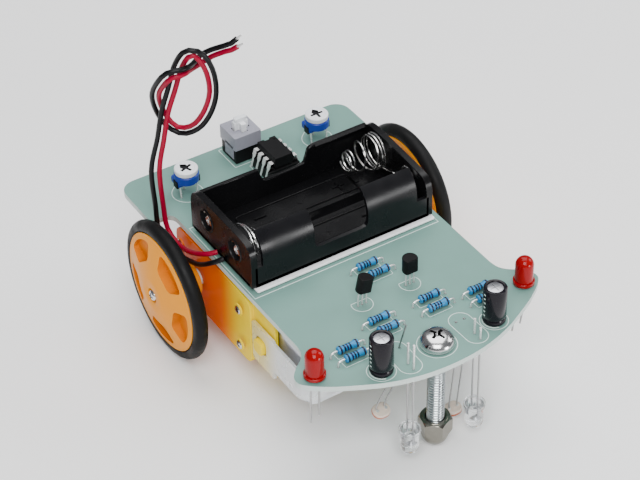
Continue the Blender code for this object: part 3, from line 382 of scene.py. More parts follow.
def slab(x, y, half_x, half_y, low, high, look="black", bevel=0.0):
    """Block about an upright line, from its half sizes."""
    return block((x - half_x, y - half_y, low), (x + half_x, y + half_y, high), look, bevel)


def polar(u, v, radius, degrees):
    """Point at a distance and an angle from a middle point."""
    turn = math.radians(degrees)
    return (u + radius * math.cos(turn), v + radius * math.sin(turn))


def arc(u, v, radius, start, end, steps=24):
    """Points on part of a circle, by its angles in degrees."""
    return [polar(u, v, radius, start + (end - start) * i / steps) for i in range(steps + 1)]


def circle(u, v, radius, count=32, start=0.0):
    """Points round a circle."""
    step = 2.0 * math.pi / count
    return [(u + radius * math.cos(start + i * step), v + radius * math.sin(start + i * step))
            for i in range(count)]


def rounded(u0, v0, u1, v1, radius, steps=6):
    """Outline of a rectangle with round corners."""
    centres = [(u1 - radius, v1 - radius, 0), (u0 + radius, v1 - radius, 1),
               (u0 + radius, v0 + radius, 2), (u1 - radius, v0 + radius, 3)]
    return [(u + radius * math.cos(0.5 * math.pi * (quarter + i / steps)),
             v + radius * math.sin(0.5 * math.pi * (quarter + i / steps)))
            for u, v, quarter in centres for i in range(steps + 1)]


def pad(u, v, half_u, half_v, radius, steps=6):
    """Round-cornered rectangle about a middle point."""
    return rounded(u - half_u, v - half_v, u + half_u, v + half_v, radius, steps)


def rod(axis, u, v, radius, low, high, look="black", count=24, bevel=0.0):
    """Round bar along an axis."""
    return prism(circle(u, v, radius, count), low, high, axis, look, bevel)


def lathe(profile, axis, u, v, look="black", count=64, base=0.0, way=1):
    """Closed (radius, along) profile turned round an axis, from a base and in one direction."""
    points, rings = [], []
    for radius, along in profile:
        along = base + way * along
        if radius < 1e-6:
            rings.append([len(points)])
            points.append(turned(axis, along, u, v))
        else:
            rings.append(list(range(len(points), len(points) + count)))
            points += [turned(axis, along, a, b) for a, b in circle(u, v, radius, count)]
    faces = []
    for here, there in zip(rings, rings[1:] + rings[:1]):
        if len(here) == 1 and len(there) == 1:
            continue
        for i in range(count):
            j = (i + 1) % count
            ring = [here[i % len(here)], here[j % len(here)], there[j % len(there)], there[i % len(there)]]
            faces.append(tuple(dict.fromkeys(ring)))
    return soften(solid(points, faces, look), 0.0)


def bar(route, radius, look="solder", count=10):
    """Thin bar bent along a few points."""
    route = [Vector(point) for point in route]
    points, side = [], None
    for i, here in enumerate(route):
        ahead = (route[min(i + 1, len(route) - 1)] - route[max(i - 1, 0)]).normalized()
        side = ahead.orthogonal() if side is None else side - ahead * side.dot(ahead)
        side.normalize()
        across_both = ahead.cross(side)
        points += [tuple(here + side * u + across_both * v) for u, v in circle(0, 0, radius, count)]
    return soften(solid(points, tube_faces(len(route), count), look), 0.0)


def bent(route, step, radius, look="solder", count=10):
    """Thin bar on a smooth curve through a few points."""
    return bar(smooth_route(route, step)[0], radius, look, count)


def smooth_route(points, step):
    """Evenly spaced points on a smooth curve through the route points."""
    points = [Vector(point) for point in points]
    ends = [2 * points[0] - points[1]] + points + [2 * points[-1] - points[-2]]
    fine = []
    for i in range(1, len(ends) - 2):
        a, b, c, d = ends[i - 1:i + 3]
        for k in range(24):
            t = k / 24
            fine.append(0.5 * (2 * b + (c - a) * t + (2 * a - 5 * b + 4 * c - d) * t * t
                               + (3 * b - a - 3 * c + d) * t ** 3))
    fine.append(points[-1])
    total = sum((q - p).length for p, q in zip(fine, fine[1:]))
    count = max(2, round(total / step))
    route, walked = [fine[0]], 0.0
    for p, q in zip(fine, fine[1:]):
        walked += (q - p).length
        if len(route) < count and walked >= total * len(route) / count:
            route.append(q)
    return route + [fine[-1]], total


def cut(shape, *tools):
    """Take the tools out of a shape."""
    for tool in tools:
        combine(shape, tool, "DIFFERENCE")
    return shape


def combine(shape, tool, operation):
    """Apply one Boolean and remove its tool."""
    modifier = shape.modifiers.new("combine", "BOOLEAN")
    modifier.operation = operation
    modifier.solver = "EXACT"
    modifier.material_mode = "TRANSFER"
    modifier.object = tool
    shape.modifiers.move(len(shape.modifiers) - 1, 0)
    bevels = [m for m in shape.modifiers if m.type == "BEVEL"]
    for bevel in bevels:
        bevel.show_viewport = False
    bpy.context.view_layer.update()
    made = bpy.data.meshes.new_from_object(shape.evaluated_get(bpy.context.evaluated_depsgraph_get()))
    shape.modifiers.remove(modifier)
    for bevel in bevels:
        bevel.show_viewport = True
    shape.data = made
    bpy.data.objects.remove(tool, do_unlink=True)
    split_normals(shape)


def merge(name, shapes):
    """Bake the shapes' modifiers and put them into one object."""
    bpy.context.view_layer.update()
    graph = bpy.context.evaluated_depsgraph_get()
    mesh = bpy.data.meshes.new(name)
    joined = bmesh.new()
    for shape in shapes:
        made = bpy.data.meshes.new_from_object(shape.evaluated_get(graph))
        made.transform(shape.matrix_world)
        slots = []
        for look in made.materials:
            if look.name not in mesh.materials:
                mesh.materials.append(look)
            slots.append(list(mesh.materials).index(look))
        before = len(joined.faces)
        joined.from_mesh(made)
        joined.faces.ensure_lookup_table()
        for face in joined.faces[before:]:
            face.material_index = slots[face.material_index] if slots else 0
        bpy.data.objects.remove(shape, do_unlink=True)
    joined.to_mesh(mesh)
    joined.free()
    return link(bpy.data.objects.new(name, mesh))


def place(shape, body, slot, *nodes):
    """Attach a finished piece to its body and hide the nodes it stands for; slot is not used."""
    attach(shape, body)
    if nodes:
        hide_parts(*nodes)
    return shape


def piece(name, parts, slot, *nodes, body="chassis"):
    """Join a piece's parts, attach them to its body and hide the nodes it stands for; slot is not used."""
    return place(merge(name, parts), body, slot, *nodes)


def turn_about(shape, pivot, axis, degrees):
    """Turn a shape about a board-coordinate point."""
    centre = Vector(pivot) * MM + ORIGIN
    turn = Matrix.Translation(centre) @ Matrix.Rotation(math.radians(degrees), 4, axis)
    shape.data.transform(turn @ Matrix.Translation(-centre))
    return shape


def across(way, near, far, base=0.0):
    """Low and high x of a span given as distances from a base, in one direction."""
    return tuple(sorted((base + way * near, base + way * far)))


# Floor, light and leads


def studio():
    """Pale floor, soft lights from above and a bright room."""
    floor = bpy.data.meshes.new("floor")
    floor.from_pydata([(-3, -3, 0), (3, -3, 0), (3, 3, 0), (-3, 3, 0)], [], [(0, 1, 2, 3)])
    material = bpy.data.materials.new("floor")
    material.use_nodes = True
    shader_of(material).inputs["Base Color"].default_value = (0.93, 0.93, 0.93, 1.0)
    shader_of(material).inputs["Roughness"].default_value = 0.9
    floor.materials.append(material)
    link(bpy.data.objects.new("floor", floor))
    world = bpy.data.worlds.new("room")
    bpy.context.scene.world = world
    world.use_nodes = True
    sky = world.node_tree.nodes["Background"]
    sky.inputs["Color"].default_value = (0.93, 0.95, 1.0, 1.0)
    sky.inputs["Strength"].default_value = 0.2
    for name, place_at, size, power in LAMPS:
        data = bpy.data.lights.new(name, "AREA")
        data.size = size
        data.energy = power
        lit = link(bpy.data.objects.new(name, data))
        lit.location = place_at
        aim = Vector((0, 0, 0.03)) - Vector(place_at)
        lit.rotation_euler = aim.to_track_quat("-Z", "Y").to_euler()


def battery_lead(name, points, look, tip):
    """One insulated lead with its stripped, tinned end."""
    route, total = smooth_route(points, WIRE_STEP)
    curve = bpy.data.curves.new(name, "CURVE")
    curve.dimensions = "3D"
    curve.bevel_depth = LEAD_R * MM
    curve.bevel_resolution = 4
    curve.use_fill_caps = True
    spline = curve.splines.new("POLY")
    spline.points.add(len(route) - 1)
    for knot, point in zip(spline.points, route):
        knot.co = (*(point * MM + ORIGIN), 1.0)
    curve.materials.append(LOOKS[look])
    lead = link(bpy.data.objects.new(name, curve))
    place(lead, "chassis", look, "battery_lead_" + name.split("_")[1])
    ahead = (route[-1] - route[-2]).normalized()
    strands = []
    for u, v in circle(0, 0, 0.2, 5):
        offset = ahead.orthogonal().normalized() * u + ahead.cross(ahead.orthogonal()).normalized() * v
        start = route[-1] - ahead * 0.6 + offset
        strands.append(bar([start, start + ahead * tip * 0.5, start + ahead * tip - offset * 0.7], 0.15))
    bare = piece(name + "_tip", strands, "contact_steel")


# Board


def node_shape(node):
    """A CAD node's mesh with its doubled corners joined, for editing."""
    shape = bmesh.new()
    shape.from_mesh(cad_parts[node].data)
    bmesh.ops.remove_doubles(shape, verts=shape.verts, dist=1e-6)
    return shape


def outline_of(node):
    """Outline of a flat node's top face, in board coordinates."""
    shape = node_shape(node)
    top = max(vertex.co.z for vertex in shape.verts)
    ahead = {}
    for edge in shape.edges:
        flat = [face for face in edge.link_faces if face.calc_center_median().z > top - 1e-6]
        if len(flat) == 1:
            ends = [vertex.index for vertex in edge.verts]
            for here, there in (ends, ends[::-1]):
                ahead.setdefault(here, []).append(there)
    shape.verts.ensure_lookup_table()
    start = max(ahead, key=lambda i: abs(shape.verts[i].co.x))
    loop = [start, ahead[start][0]]
    while loop[-1] != start:
        loop.append([i for i in ahead[loop[-1]] if i != loop[-2]][0])
    outline = [(shape.verts[i].co - ORIGIN) / MM for i in loop[:-1]]
    shape.free()
    return [tuple(point.xy) for point in outline]


def soften_corners(outline, reach, rounds=2):
    """Outline with each corner cut back in turn, so that it runs smoothly."""
    for _ in range(rounds):
        points = [Vector(point) for point in outline]
        outline = []
        for i, here in enumerate(points):
            for there in (points[i - 1], points[(i + 1) % len(points)]):
                step = there - here
                share = min(0.25 * step.length, reach) if step.length > 1e-4 else 0.0
                outline.append(tuple(here + step.normalized() * share))
    return outline


def leg_holes():
    """Where the component legs pass through the board."""
    sets = []
    for side, name in SIDES:
        sets += [(spot("capacitor_" + name), PAIR), (spot("clear_led_" + name), ((0, -HALF), (0, HALF))),
                 (TRANSISTOR_AT[name], ((-HALF, 0), (0, 0), (HALF, 0))),
                 (spot("trimmer_%s_rotor" % name), TRIMMER_LEGS), (spot("red_led_" + name), PAIR),
                 (Vector((side * SENSOR_AT.x, SENSOR_AT.y)), PAIR)]
    ends = ((-RESISTOR_SPAN, 0), (RESISTOR_SPAN, 0))
    sets += [(spot("resistor_%d" % number), ends) for number in RESISTORS]
    sets += [(spot("switch_cover"), SWITCH_LEGS),
             (spot("ic_chip"), [(3.81 * way, dy) for way, dy in CHIP_LEGS])]
    return [(at.x + dx, at.y + dy) for at, offsets in sets for dx, dy in offsets]


def ribbon(route, width, low, high, look="silk", closed=True):
    """Flat printed line along a route on the board."""
    points = [Vector((x, y)) for x, y in route]
    count, verts = len(points), []
    for i, here in enumerate(points):
        back = points[i - 1] if closed or i else here
        ahead = points[(i + 1) % count] if closed or i < count - 1 else here
        along = (ahead - back).normalized()
        aside = Vector((-along.y, along.x)) * width / 2
        near, far = here - aside, here + aside
        verts += [(*near, low), (*far, low), (*far, high), (*near, high)]
    return solid(verts, tube_faces(count, 4, closed), look)


def circuit_board():
    """Board with pale sawn edges, drilled leg holes and the hole for the skid screw."""
    outline = soften_corners(outline_of("circuit_board"), 0.9)
    board = prism(outline, -BOARD_THICK, 0.0, look="board_mask")
    drills = [rod("z", x, y, 0.42, -3, 1, count=10) for x, y in leg_holes()]
    drills.append(rod("z", SCREW.x, SCREW.y, 2.8, -3, 1, count=32))
    cut(board, merge("drills", drills))
    board.data.materials.clear()
    for look in ("board_mask", "board_edge"):
        board.data.materials.append(LOOKS[look])
    for face in board.data.polygons:
        upright = abs(face.normal.z) < 0.5
        face.material_index = int(upright)
        face.use_smooth = upright
    soften(board, 0.12, 1)
    board.name = "board"
    place(board, "chassis", "board", "circuit_board")


def printing():
    """White component outlines printed on the board."""
    marks = []

    def draw(route, width=0.22, closed=True):
        """Print one line."""
        marks.append(ribbon(route, width, 0.0, 0.03, "silk", closed))

    low, high = limits("battery_holder")
    left, right, front, rear = low.x - 0.5, high.x + 0.5, low.y - 2.2, high.y + 0.9
    draw([(left, front), (right, front), (right, rear), (left, rear)], 0.3)
    draw(circle(SCREW.x, SCREW.y, 5.2, 48))
    draw(pad(*spot("ic_chip").xy, 5.3, 5.5, 0.3, 2))
    draw(pad(*spot("switch_cover").xy, 4.8, 4.8, 0.3, 2))
    for side, name in SIDES:
        draw(arc(*TRANSISTOR_AT[name], 2.9, -208, 28))
        x, y = spot("trimmer_%s_rotor" % name).xy
        draw(arc(x, y, 4.4, -230, 50) + [(x + 1.6, y + 4.4), (x - 1.6, y + 4.4)])
        can, far = spot("capacitor_" + name).xy, spot("clear_led_" + name)
        draw(circle(*can, 3.75, 40))
        draw(arc(*can, 2.9, 100, 260, 16), 0.5, False)
        sensor = arc(side * SENSOR_AT.x, SENSOR_AT.y - 0.2, 3.1, 0, 180)
        draw(sensor + arc(far.x, far.y + 0.4, 3.1, 180, 360))
    for number in RESISTORS:
        draw(pad(*spot("resistor_%d" % number).xy, 3.6, 1.35, 0.2, 1), 0.16)
    piece("board_printing", marks, "board")


def soldering():
    """Solder cones round the legs and copper tracks under the board."""
    under = -BOARD_THICK
    profile = [(0, 0.2), (0.95, 0.02), (0.95, -0.06), (0.7, -0.2), (0.46, -0.6), (0.36, -1.15), (0, -1.3)]
    cones = [lathe(profile, "z", x, y, "solder", 14, under) for x, y in leg_holes()]
    piece("solder_joints", cones, "contact_steel")
    tracks = []
    for side, name in SIDES:
        legs, can, knob = TRANSISTOR_AT[name], spot("capacitor_" + name), spot("trimmer_%s_rotor" % name)
        red, clear = spot("red_led_" + name), spot("clear_led_" + name)
        tracks += [[(red.x - side * HALF, red.y), (can.x + side * 6, can.y + 3), (can.x + HALF, can.y)],
                   [(can.x - HALF, can.y), (can.x - side * 4, can.y - 3.2), (clear.x, clear.y - HALF)],
                   [(clear.x, clear.y + HALF), (side * SENSOR_AT.x - HALF, SENSOR_AT.y)],
                   [(legs.x + side * HALF, legs.y), (side * 26, legs.y - 5),
                    (red.x + side * (HALF - 1.5), red.y + 3), (red.x + side * HALF, red.y)],
                   [(legs.x, legs.y), (legs.x, legs.y + 5), (side * 4.5, -30), (side * 4.5, 6),
                    (side * 8, 12), (knob.x - PITCH, knob.y - 1)],
                   [(knob.x, knob.y + 2.2), (knob.x - side * 6, knob.y + 8), (side * 6, 26)]]
    lines = [ribbon(track, 0.9, under - 0.04, under, "trace", False) for track in tracks]
    piece("copper_tracks", lines, "board")


# Battery tray


def tray_floor(low, high, middle):
    """Floor, low rib between the bays and the raised cell outlines."""
    top, look = low.z + 1.2, "black_gloss"
    parts = [prism(rounded(low.x, low.y, high.x, high.y, 1.2), low.z, top, "z", look, 0.15)]
    rib = [(-1.6, -0.1), (1.6, -0.1), (0.6, 1.6), (0.45, 2.2), (-0.45, 2.2), (-0.6, 1.6)]
    parts.append(prism([(middle + u, top + v) for u, v in rib], low.x + 1.8, high.x - 1.8, "x", look))
    for row in (-1, 1):
        y = middle + row * BAY_WIDE / 2
        parts.append(ribbon(rounded(-18.5, y - 3.6, 17.0, y + 3.6, 0.8, 3), 0.4, top, top + 0.3, look))
        parts.append(slab(row * 17.6, y, 0.9, 1.4, top, top + 0.3, look))
        for way, half_x, half_y in ((row, 1.8, 0.25), (row, 0.25, 1.8), (-row, 1.8, 0.25)):
            parts.append(slab(way * 12.5, y, half_x, half_y, top, top + 0.35, look))
        parts += [rod("z", x, y, 0.8, top, top + 0.12, look, 20) for x in (-22.0, 0.0, 21.5)]
    return parts


def lip(y, z, start, end, steps):
    """Section of a lip that rolls round a cell."""
    return arc(y, z, LIP_OUT, start, end, steps) + arc(y, z, LIP_IN, end, start, steps)


def tray_walls(low, high, middle):
    """Front wall with its dip, notches and rolled lips, and rear wall with its dip and step."""
    cell, left, right = low.z + 8.45, low.x + 1.2, high.x - 1.2
    (a, b), (c, d) = LIPS
    front = [(left, 0), (right, 0), (right, 6.4), (d - 1, 6.4), (d - 1, 7.4), (c, 7.4), (c - 0.2, 6.2),
             (c - 0.7, 5.5), (c - 1.8, 5.2), (b + 1.8, 5.2), (b + 0.7, 5.5), (b + 0.2, 6.2), (b, 7.4),
             (a + 1, 7.4), (a + 1, 6.4), (left, 6.4)]
    wall = prism([(u, low.z + v) for u, v in front], low.y, low.y + 1.1, "y", "black_sheen")
    y, foot = middle - BAY_WIDE / 2, low.z + 2.0
    for near, far in LIPS:
        section = [(y - LIP_IN, foot), (y - LIP_OUT, foot)] + lip(y, cell, 180, 121, 16)
        combine(wall, prism(section, near, far, "x", "black_sheen"), "UNION")
    dip = [(9.2, 1.4), (7.6, 2.2), (6.6, 5.0), (5.0, 6.6), (-5.6, 6.8), (-7.2, 5.8), (-8.4, 2.6)]
    curve = smooth_route([(u, high.z - v, 0.0) for u, v in dip], 0.5)[0]
    rear = [(left, low.z), (right, low.z), (right, high.z - 1.4)]
    rear += [tuple(point.xy) for point in curve] + [(left, high.z - 2.4)]
    roll = lip(middle + BAY_WIDE / 2, cell, 0, 28, 14)
    return [soften(wall, 0.32, 3), prism(rear, high.y - 1.2, high.y, "y", "black_gloss", 0.3),
            prism(roll, 9.6, right, "x", "black_gloss", 0.12)]


def tray_ends(low, high, middle):
    """Thick end walls with round top corners, and the two windows in the left one."""
    cell = low.z + 7.6
    foot = [(low.y, low.z + 0.3), (low.y, low.z), (high.y, low.z), (high.y, low.z + 0.3)]
    left = foot + [(high.y, high.z - 0.2), (low.y, high.z - 0.2)]
    right = foot + [(high.y, high.z), (middle + 4, high.z - 0.4), (middle - 8, high.z - 1.0),
                    (low.y, high.z - 1.8)]
    ends = [prism(soften_corners(outline, 2.6, 3), near, near + 1.9, "x", "black_gloss", 0.55)
            for outline, near in ((left, low.x), (right, high.x - 1.9))]
    ring = [(2.9, 0.1), (3.5, 0.1), (3.3, -0.25), (3.0, -0.25)]
    for y in (middle - BAY_WIDE / 2, middle + BAY_WIDE / 2):
        cut(ends[0], rod("x", y, cell, 2.9, -32, -25, count=32))
        ends.append(lathe(ring, "x", y, cell, "black_gloss", 40, low.x))
    return ends


def battery_tray():
    """Open tray for two cells, with its foam tape."""
    low, high = limits("battery_holder")
    high.z = low.z + TRAY_HIGH
    tray = (low, high, (low.y + high.y) / 2)
    parts = tray_floor(*tray) + tray_walls(*tray) + tray_ends(*tray)
    piece("battery_tray", parts, "tray_plastic", "battery_holder")
    low, high = limits("holder_tape")
    tape = prism(rounded(low.x, low.y, high.x, high.y, 0.3, 2), low.z, high.z, look="foam", bevel=0.2)
    tape.name = "tape"
    place(tape, "chassis", "foam_tape", "holder_tape")


def coil(x0, y, z, rows, turns_per=36):
    """Route of a wire coil along x from rows of (turns so far, x, radius)."""
    route = []
    for i in range(int(rows[-1][0] * turns_per) + 1):
        at = i / turns_per
        for (t0, a0, r0), (t1, a1, r1) in zip(rows, rows[1:]):
            if at <= t1:
                share = (at - t0) / (t1 - t0)
                along, radius = a0 + (a1 - a0) * share, r0 + (r1 - r0) * share
                break
        turn = 2.0 * math.pi * at
        route.append((x0 + along, y + radius * math.sin(turn), z - radius * math.cos(turn)))
    return route


def contact_plate(x, y, z):
    """Pressed contact in a tray window: plate, bent tongue and rivet."""
    tongue = [(1.25, 1.6, 1.9), (1.3, 0.5, 2.5), (1.35, -0.8, 1.9), (1.35, 0.2, 0.9), (1.3, 0.5, -0.2),
              (1.25, -0.6, -1.2)]
    rivet = [(0, -1.5), (0.9, -1.45), (1.2, -1.1), (1.2, -0.1), (0, -0.1)]
    return [prism(pad(y, z, 4.0, 4.2, 1.6), x - 0.2, x + 0.2, "x", "spring", 0.1),
            bent([(x - a, y + b, z + c) for a, b, c in tongue], 0.4, 0.46, "spring", 8),
            lathe(rivet, "x", y - 1.1, z - 0.4, "chrome", 24, x)]


def battery_contacts():
    """Springs, linking wire and contact plates of the tray."""
    low, high = limits("battery_holder")
    middle, cell = (low.y + high.y) / 2, low.z + 1.2 + 7.2
    front, rear = middle - BAY_WIDE / 2, middle + BAY_WIDE / 2
    base = high.x - 2.4
    rows = [(0.0, 0.0, 5.2), (2.6, -2.4, 5.0), (3.5, -5.6, 4.2), (4.3, -8.8, 3.0), (6.2, -10.8, 2.5)]
    spring = bar(coil(base, rear, cell, rows), 0.24, "spring", 8)
    wire = [(0, rear - 0.2, -5.2), (0.1, rear - 4.6, -4.2), (0, middle - 0.5, -3.0), (0, front + 4.2, -3.6),
            (0, front + 2.6, 1.5), (0, front, 3.0), (0, front - 2.6, 1.2), (0, front - 1.6, -2.0),
            (0, front + 1.2, -2.0)]
    wire = bent([(base + a, y, cell + c) for a, y, c in wire], 0.8, 0.24, "spring", 8)
    piece("spring_and_link", [spring, wire], "contact_steel", "contact_link")
    rows = [(0.0, 0.0, 5.6), (1.2, 0.5, 5.5), (2.2, 3.4, 3.0), (3.4, 4.4, 2.2)]
    wire = bar(coil(low.x + 2.9, front, cell, rows), 0.24, "spring", 8)
    plate_at = low.x + 1.9
    piece("negative_contact", [wire] + contact_plate(plate_at, front, cell - 0.8), "contact_steel",
           "contact_spring")
    boss = lathe([(0, 0), (2.4, 0), (2.2, 0.7), (0, 1.2)], "x", rear, cell - 0.8, "spring", 32, plate_at)
    piece("positive_contact", [boss] + contact_plate(plate_at, rear, cell - 0.8), "contact_steel",
           "contact_button")


# Parts on the board


def push_switch():
    """Push switch: black base, grey cover with clips down its sides, and a white cross-shaped button."""
    low, high = limits("switch_base")
    low.z = high.z - 4.3
    x, y = (low.x + high.x) / 2, (low.y + high.y) / 2
    parts = [block(low, high, "black", 0.15)]
    parts += [slab(x + dx, y + dy, 0.25, 0.12, -3.4, low.z + 0.4, "solder", 0.05) for dx, dy in SWITCH_LEGS]
    piece("switch_body", parts, "black_plastic", "switch_base")
    low, high = limits("switch_cover")
    x, y = ((low + high) / 2).xy
    cover = prism(rounded(low.x, low.y, high.x, high.y, 0.35, 3), low.z, high.z, look="grey", bevel=0.18)
    cross = [(0.8, 2.4), (0.8, 0.8), (2.2, 0.8), (2.2, -0.8), (0.8, -0.8), (0.8, -2.4)]
    cross += [(-u, -v) for u, v in cross]
    cut(cover, prism([(x + 1.13 * u, y + 1.13 * v) for u, v in cross], high.z - 2.6, high.z + 2),
        slab(x, y, 2.9, 2.9, low.z - 1, high.z - 1.8))
    clips = [slab(x + dx, y - 0.7, 0.125, 2.3, low.z - 3.4, low.z + 1, "grey", 0.08)
             for dx in (-4.175, 4.175)]
    piece("switch_shell", [cover] + clips, "grey_plastic", "switch_cover")
    low, high = limits("switch_button")
    stem = prism([(x + u, y + v) for u, v in cross], low.z, high.z - 1.2, look="white", bevel=0.15)
    head = prism(pad(x, y, 1.9, 0.7, 0.3, 3), high.z - 1.4, high.z, look="white", bevel=0.2)
    piece("switch_plunger", [stem, head], "white_plastic", "switch_button", body="switch_button")


def chip():
    """Eight-leg chip with tapered sides and bright splayed legs, raised in its socket."""
    x, y = spot("ic_chip").xy
    low, high = limits("ic_chip")
    socket_low, socket_high = limits("ic_socket")
    socket_low.z = 0.3
    socket = block(socket_low, socket_high, "black", 0.15)
    rows = [(way, x + way * 3.81, y + dy) for way, dy in CHIP_LEGS]
    cut(socket, slab(x, y, 2.2, 3.6, -1, 6), *[slab(px, py, 0.75, 0.5, 2.2, 6) for _, px, py in rows])
    pins = [slab(px, py, 0.22, 0.2, -3.1, 2.6, "solder", 0.05) for _, px, py in rows]
    piece("chip_socket", [socket] + pins, "black_plastic", "ic_socket")
    taper = [(-3.2, 6.05), (-3.2, 6.35), (-2.75, high.z), (2.75, high.z), (3.2, 6.35), (3.2, 6.05),
             (2.8, high.z - 3.2), (-2.8, high.z - 3.2)]
    package = prism([(x + u, z) for u, z in taper], low.y, high.y, "y", "black", 0.1)
    cut(package, rod("z", x, high.y, 0.9, high.z - 0.5, high.z + 1),
        rod("z", x + 1.7, high.y - 1.4, 0.45, high.z - 0.25, high.z + 1))
    wide = [(-0.7, 6.35), (0.7, 6.35), (0.7, 4.6), (0.36, 4.0), (0.36, 0.9), (-0.36, 0.9), (-0.36, 4.0),
            (-0.7, 4.6)]
    legs = []
    for way, _, py in rows:
        leg = prism([(py + u, z) for u, z in wide], *across(way, 4.0, 4.25, x), "x", "solder", 0.05)
        legs.append(turn_about(leg, (x + way * 4.1, py, 6.3), "Y", -way * 17.0))
        legs.append(slab(x + way * 3.6, py, 0.6, 0.7, 6.1, 6.35, "solder", 0.06))
    piece("chip", [package] + legs, "black_plastic", "ic_chip")


def trimmer(name):
    """Trimmer: blue ring on three thin legs and a white slotted disc."""
    node = "trimmer_" + name
    x, y = spot(node + "_rotor").xy
    base = limits(node + "_body")[1].z - 3.7
    ring = [(1.2, 1.2), (3.35, 1.2), (3.5, 1.4), (3.5, 3.5), (3.3, 3.7), (1.2, 3.7)]
    parts = [lathe(ring, "z", x, y, "blue", 48, base),
             prism(pad(x, y + 0.95, 3.4, 2.35, 0.8), base + 0.2, base + 1.8, look="blue", bevel=0.15)]
    parts += [slab(x + dx, y, 0.4, 1.0, base - 0.2, base + 2.0, "black", 0.1) for dx in (-3.3, 3.3)]
    parts += [bar([(x + dx, y + dy, -3.1), (x + dx, y + dy, 0.5),
                   (x + dx * 1.05, y + dy * 0.8, base + 0.6)], 0.27)
              for dx, dy in TRIMMER_LEGS]
    piece(node + "_base", parts, "trimmer_blue", node + "_body")
    low, high = limits(node + "_rotor")
    dish = [(0, 1.4), (3.25, 1.4), (3.3, 1.2), (3.3, 0.2), (3.1, 0), (2.6, 0), (2.4, 0.15), (0, 0.15)]
    disc = lathe(dish, "z", x, y, "white", 48, high.z, -1)
    arrow = [(x + u, y + v) for u, v in ARROW]
    cut(disc, prism(arrow, high.z - 0.7, high.z + 1))
    parts = [disc, prism(arrow, high.z - 0.75, high.z - 0.66, look="ink"),
             rod("z", x, y, 0.65, low.z, high.z - 1.2, "white")]
    for part in parts:
        turn_about(part, (x, y, low.z), "Z", TRIMMER_TURN[name])
    piece(node + "_disc", parts, "white_plastic", node + "_rotor", body=node)


def capacitor(name):
    """Can capacitor: black sleeve rolled over the rim, bare vented top, groove and pale dashes."""
    node = "capacitor_" + name
    x, y = spot(node).xy
    top = limits(node)[1].z
    sleeve = [(0, 0.35), (2.7, 0.3), (3.05, 0.45), (3.15, 0.8), (3.15, 1.25), (2.86, 1.75), (3.15, 2.25),
              (3.15, top - 0.5), (3.0, top - 0.14), (2.7, top), (2.3, top - 0.05), (2.05, top - 0.4),
              (0, top - 0.4)]
    cap = [(0, -0.5), (2.05, -0.5), (2.05, -0.36), (1.85, -0.28), (0, -0.28)]
    disc = lathe(cap, "z", x, y, "aluminium", 48, top)
    cut(disc, *[slab(x, y, u, v, top - 0.32, top + 1) for u, v in ((1.4, 0.07), (0.07, 1.4))])
    parts = [lathe(sleeve, "z", x, y, "sleeve", 56), disc]
    parts += [dash(x, y, 2.9 + i * 1.35) for i in range(6)]
    parts += [bar([(x + dx, y, -3.3), (x + dx, y, 0.6)], 0.25) for dx in (-HALF, HALF)]
    piece("can_capacitor_" + name, parts, "capacitor_sleeve", node)


def dash(x, y, z, steps=4):
    """Pale dash wrapped round the side of a capacitor's sleeve."""
    verts = []
    for i in range(steps + 1):
        for radius, height in ((3.17, z), (3.17, z + 0.4), (3.1, z + 0.4), (3.1, z)):
            verts.append((*polar(x, y, radius, 172 + 11 * i / steps), height))
    return solid(verts, tube_faces(steps + 1, 4), "silk")


def lamp_shell(base, way, x, y, look):
    """Flanged lamp body with a round end."""
    rows = [(0, 0), (2.8, 0), (2.9, 0.12), (2.9, 0.95), (2.8, 1.05), (2.5, 1.08), (2.48, 6.0)]
    rows += arc(0.0, 6.0, 2.48, 9, 81, 8) + [(0, 8.48)]
    return lathe(rows, "z", x, y, look, 56, base, way)


def lamp_frame(base, x, y):
    """Lead frame inside a clear lamp: posts, cup and anvil."""
    cup = [(0, 3.3), (0.5, 3.3), (1.0, 4.4), (0.85, 4.4), (0.4, 3.8), (0, 3.8)]
    parts = [bar([(x, y + dy, base), (x, y + dy, base - reach)], 0.27, "frame_metal")
             for dy, reach in ((-HALF, 4.2), (HALF, 3.8))]
    parts.append(lathe(cup, "z", x, y - HALF * 0.35, "frame_metal", 20, base, -1))
    parts.append(block((x - 0.45, y - HALF * 0.3 - 0.45, base - 3.4), (x + 0.3, y - HALF + 0.3, base - 2.4),
                       "frame_metal", 0.05))
    return parts


def red_lamp(name):
    """Red lamp on the board's corner, with long legs under it."""
    x, y = spot("red_led_" + name).xy
    parts = [lamp_shell(0.5, 1, x, y, "red_lens")]
    for dx, reach in ((-HALF, 15.4), (HALF, 13.9)):
        route = [(x + dx, y, 0.6), (x + dx, y, -3.0), (x + dx + RED_LEAN[name], y + 0.2, -reach)]
        parts.append(bent(route, 1.5, 0.26, "tin"))
    piece("red_lamp_" + name, parts, "red_lens", "red_led_" + name)


def clear_lamp(name):
    """Clear lamp hanging on its legs, with its lead frame showing through."""
    node = "clear_led_" + name
    (x, y), (low, high) = spot(node).xy, limits(node)
    base = low.z + 8.48
    shell = lamp_shell(base, -1, x, y, "clear_lens")
    shell.name = "clear_lamp_" + name
    place(shell, "chassis", "clear_lens", node)
    parts = lamp_frame(base - 0.4, x, y)
    for dy, reach in zip((-HALF, HALF), LAMP_LEADS[name]):
        parts.append(bar([(x, y + dy, base - 0.6), (x, y + dy, -5), (x, y + dy, 0.2)], 0.26, "tin"))
        parts.append(bar([(x, y + dy, 0.0), (x, y + dy, high.z + reach)], 0.34))
    piece("clear_lamp_frame_" + name, parts, "contact_steel")


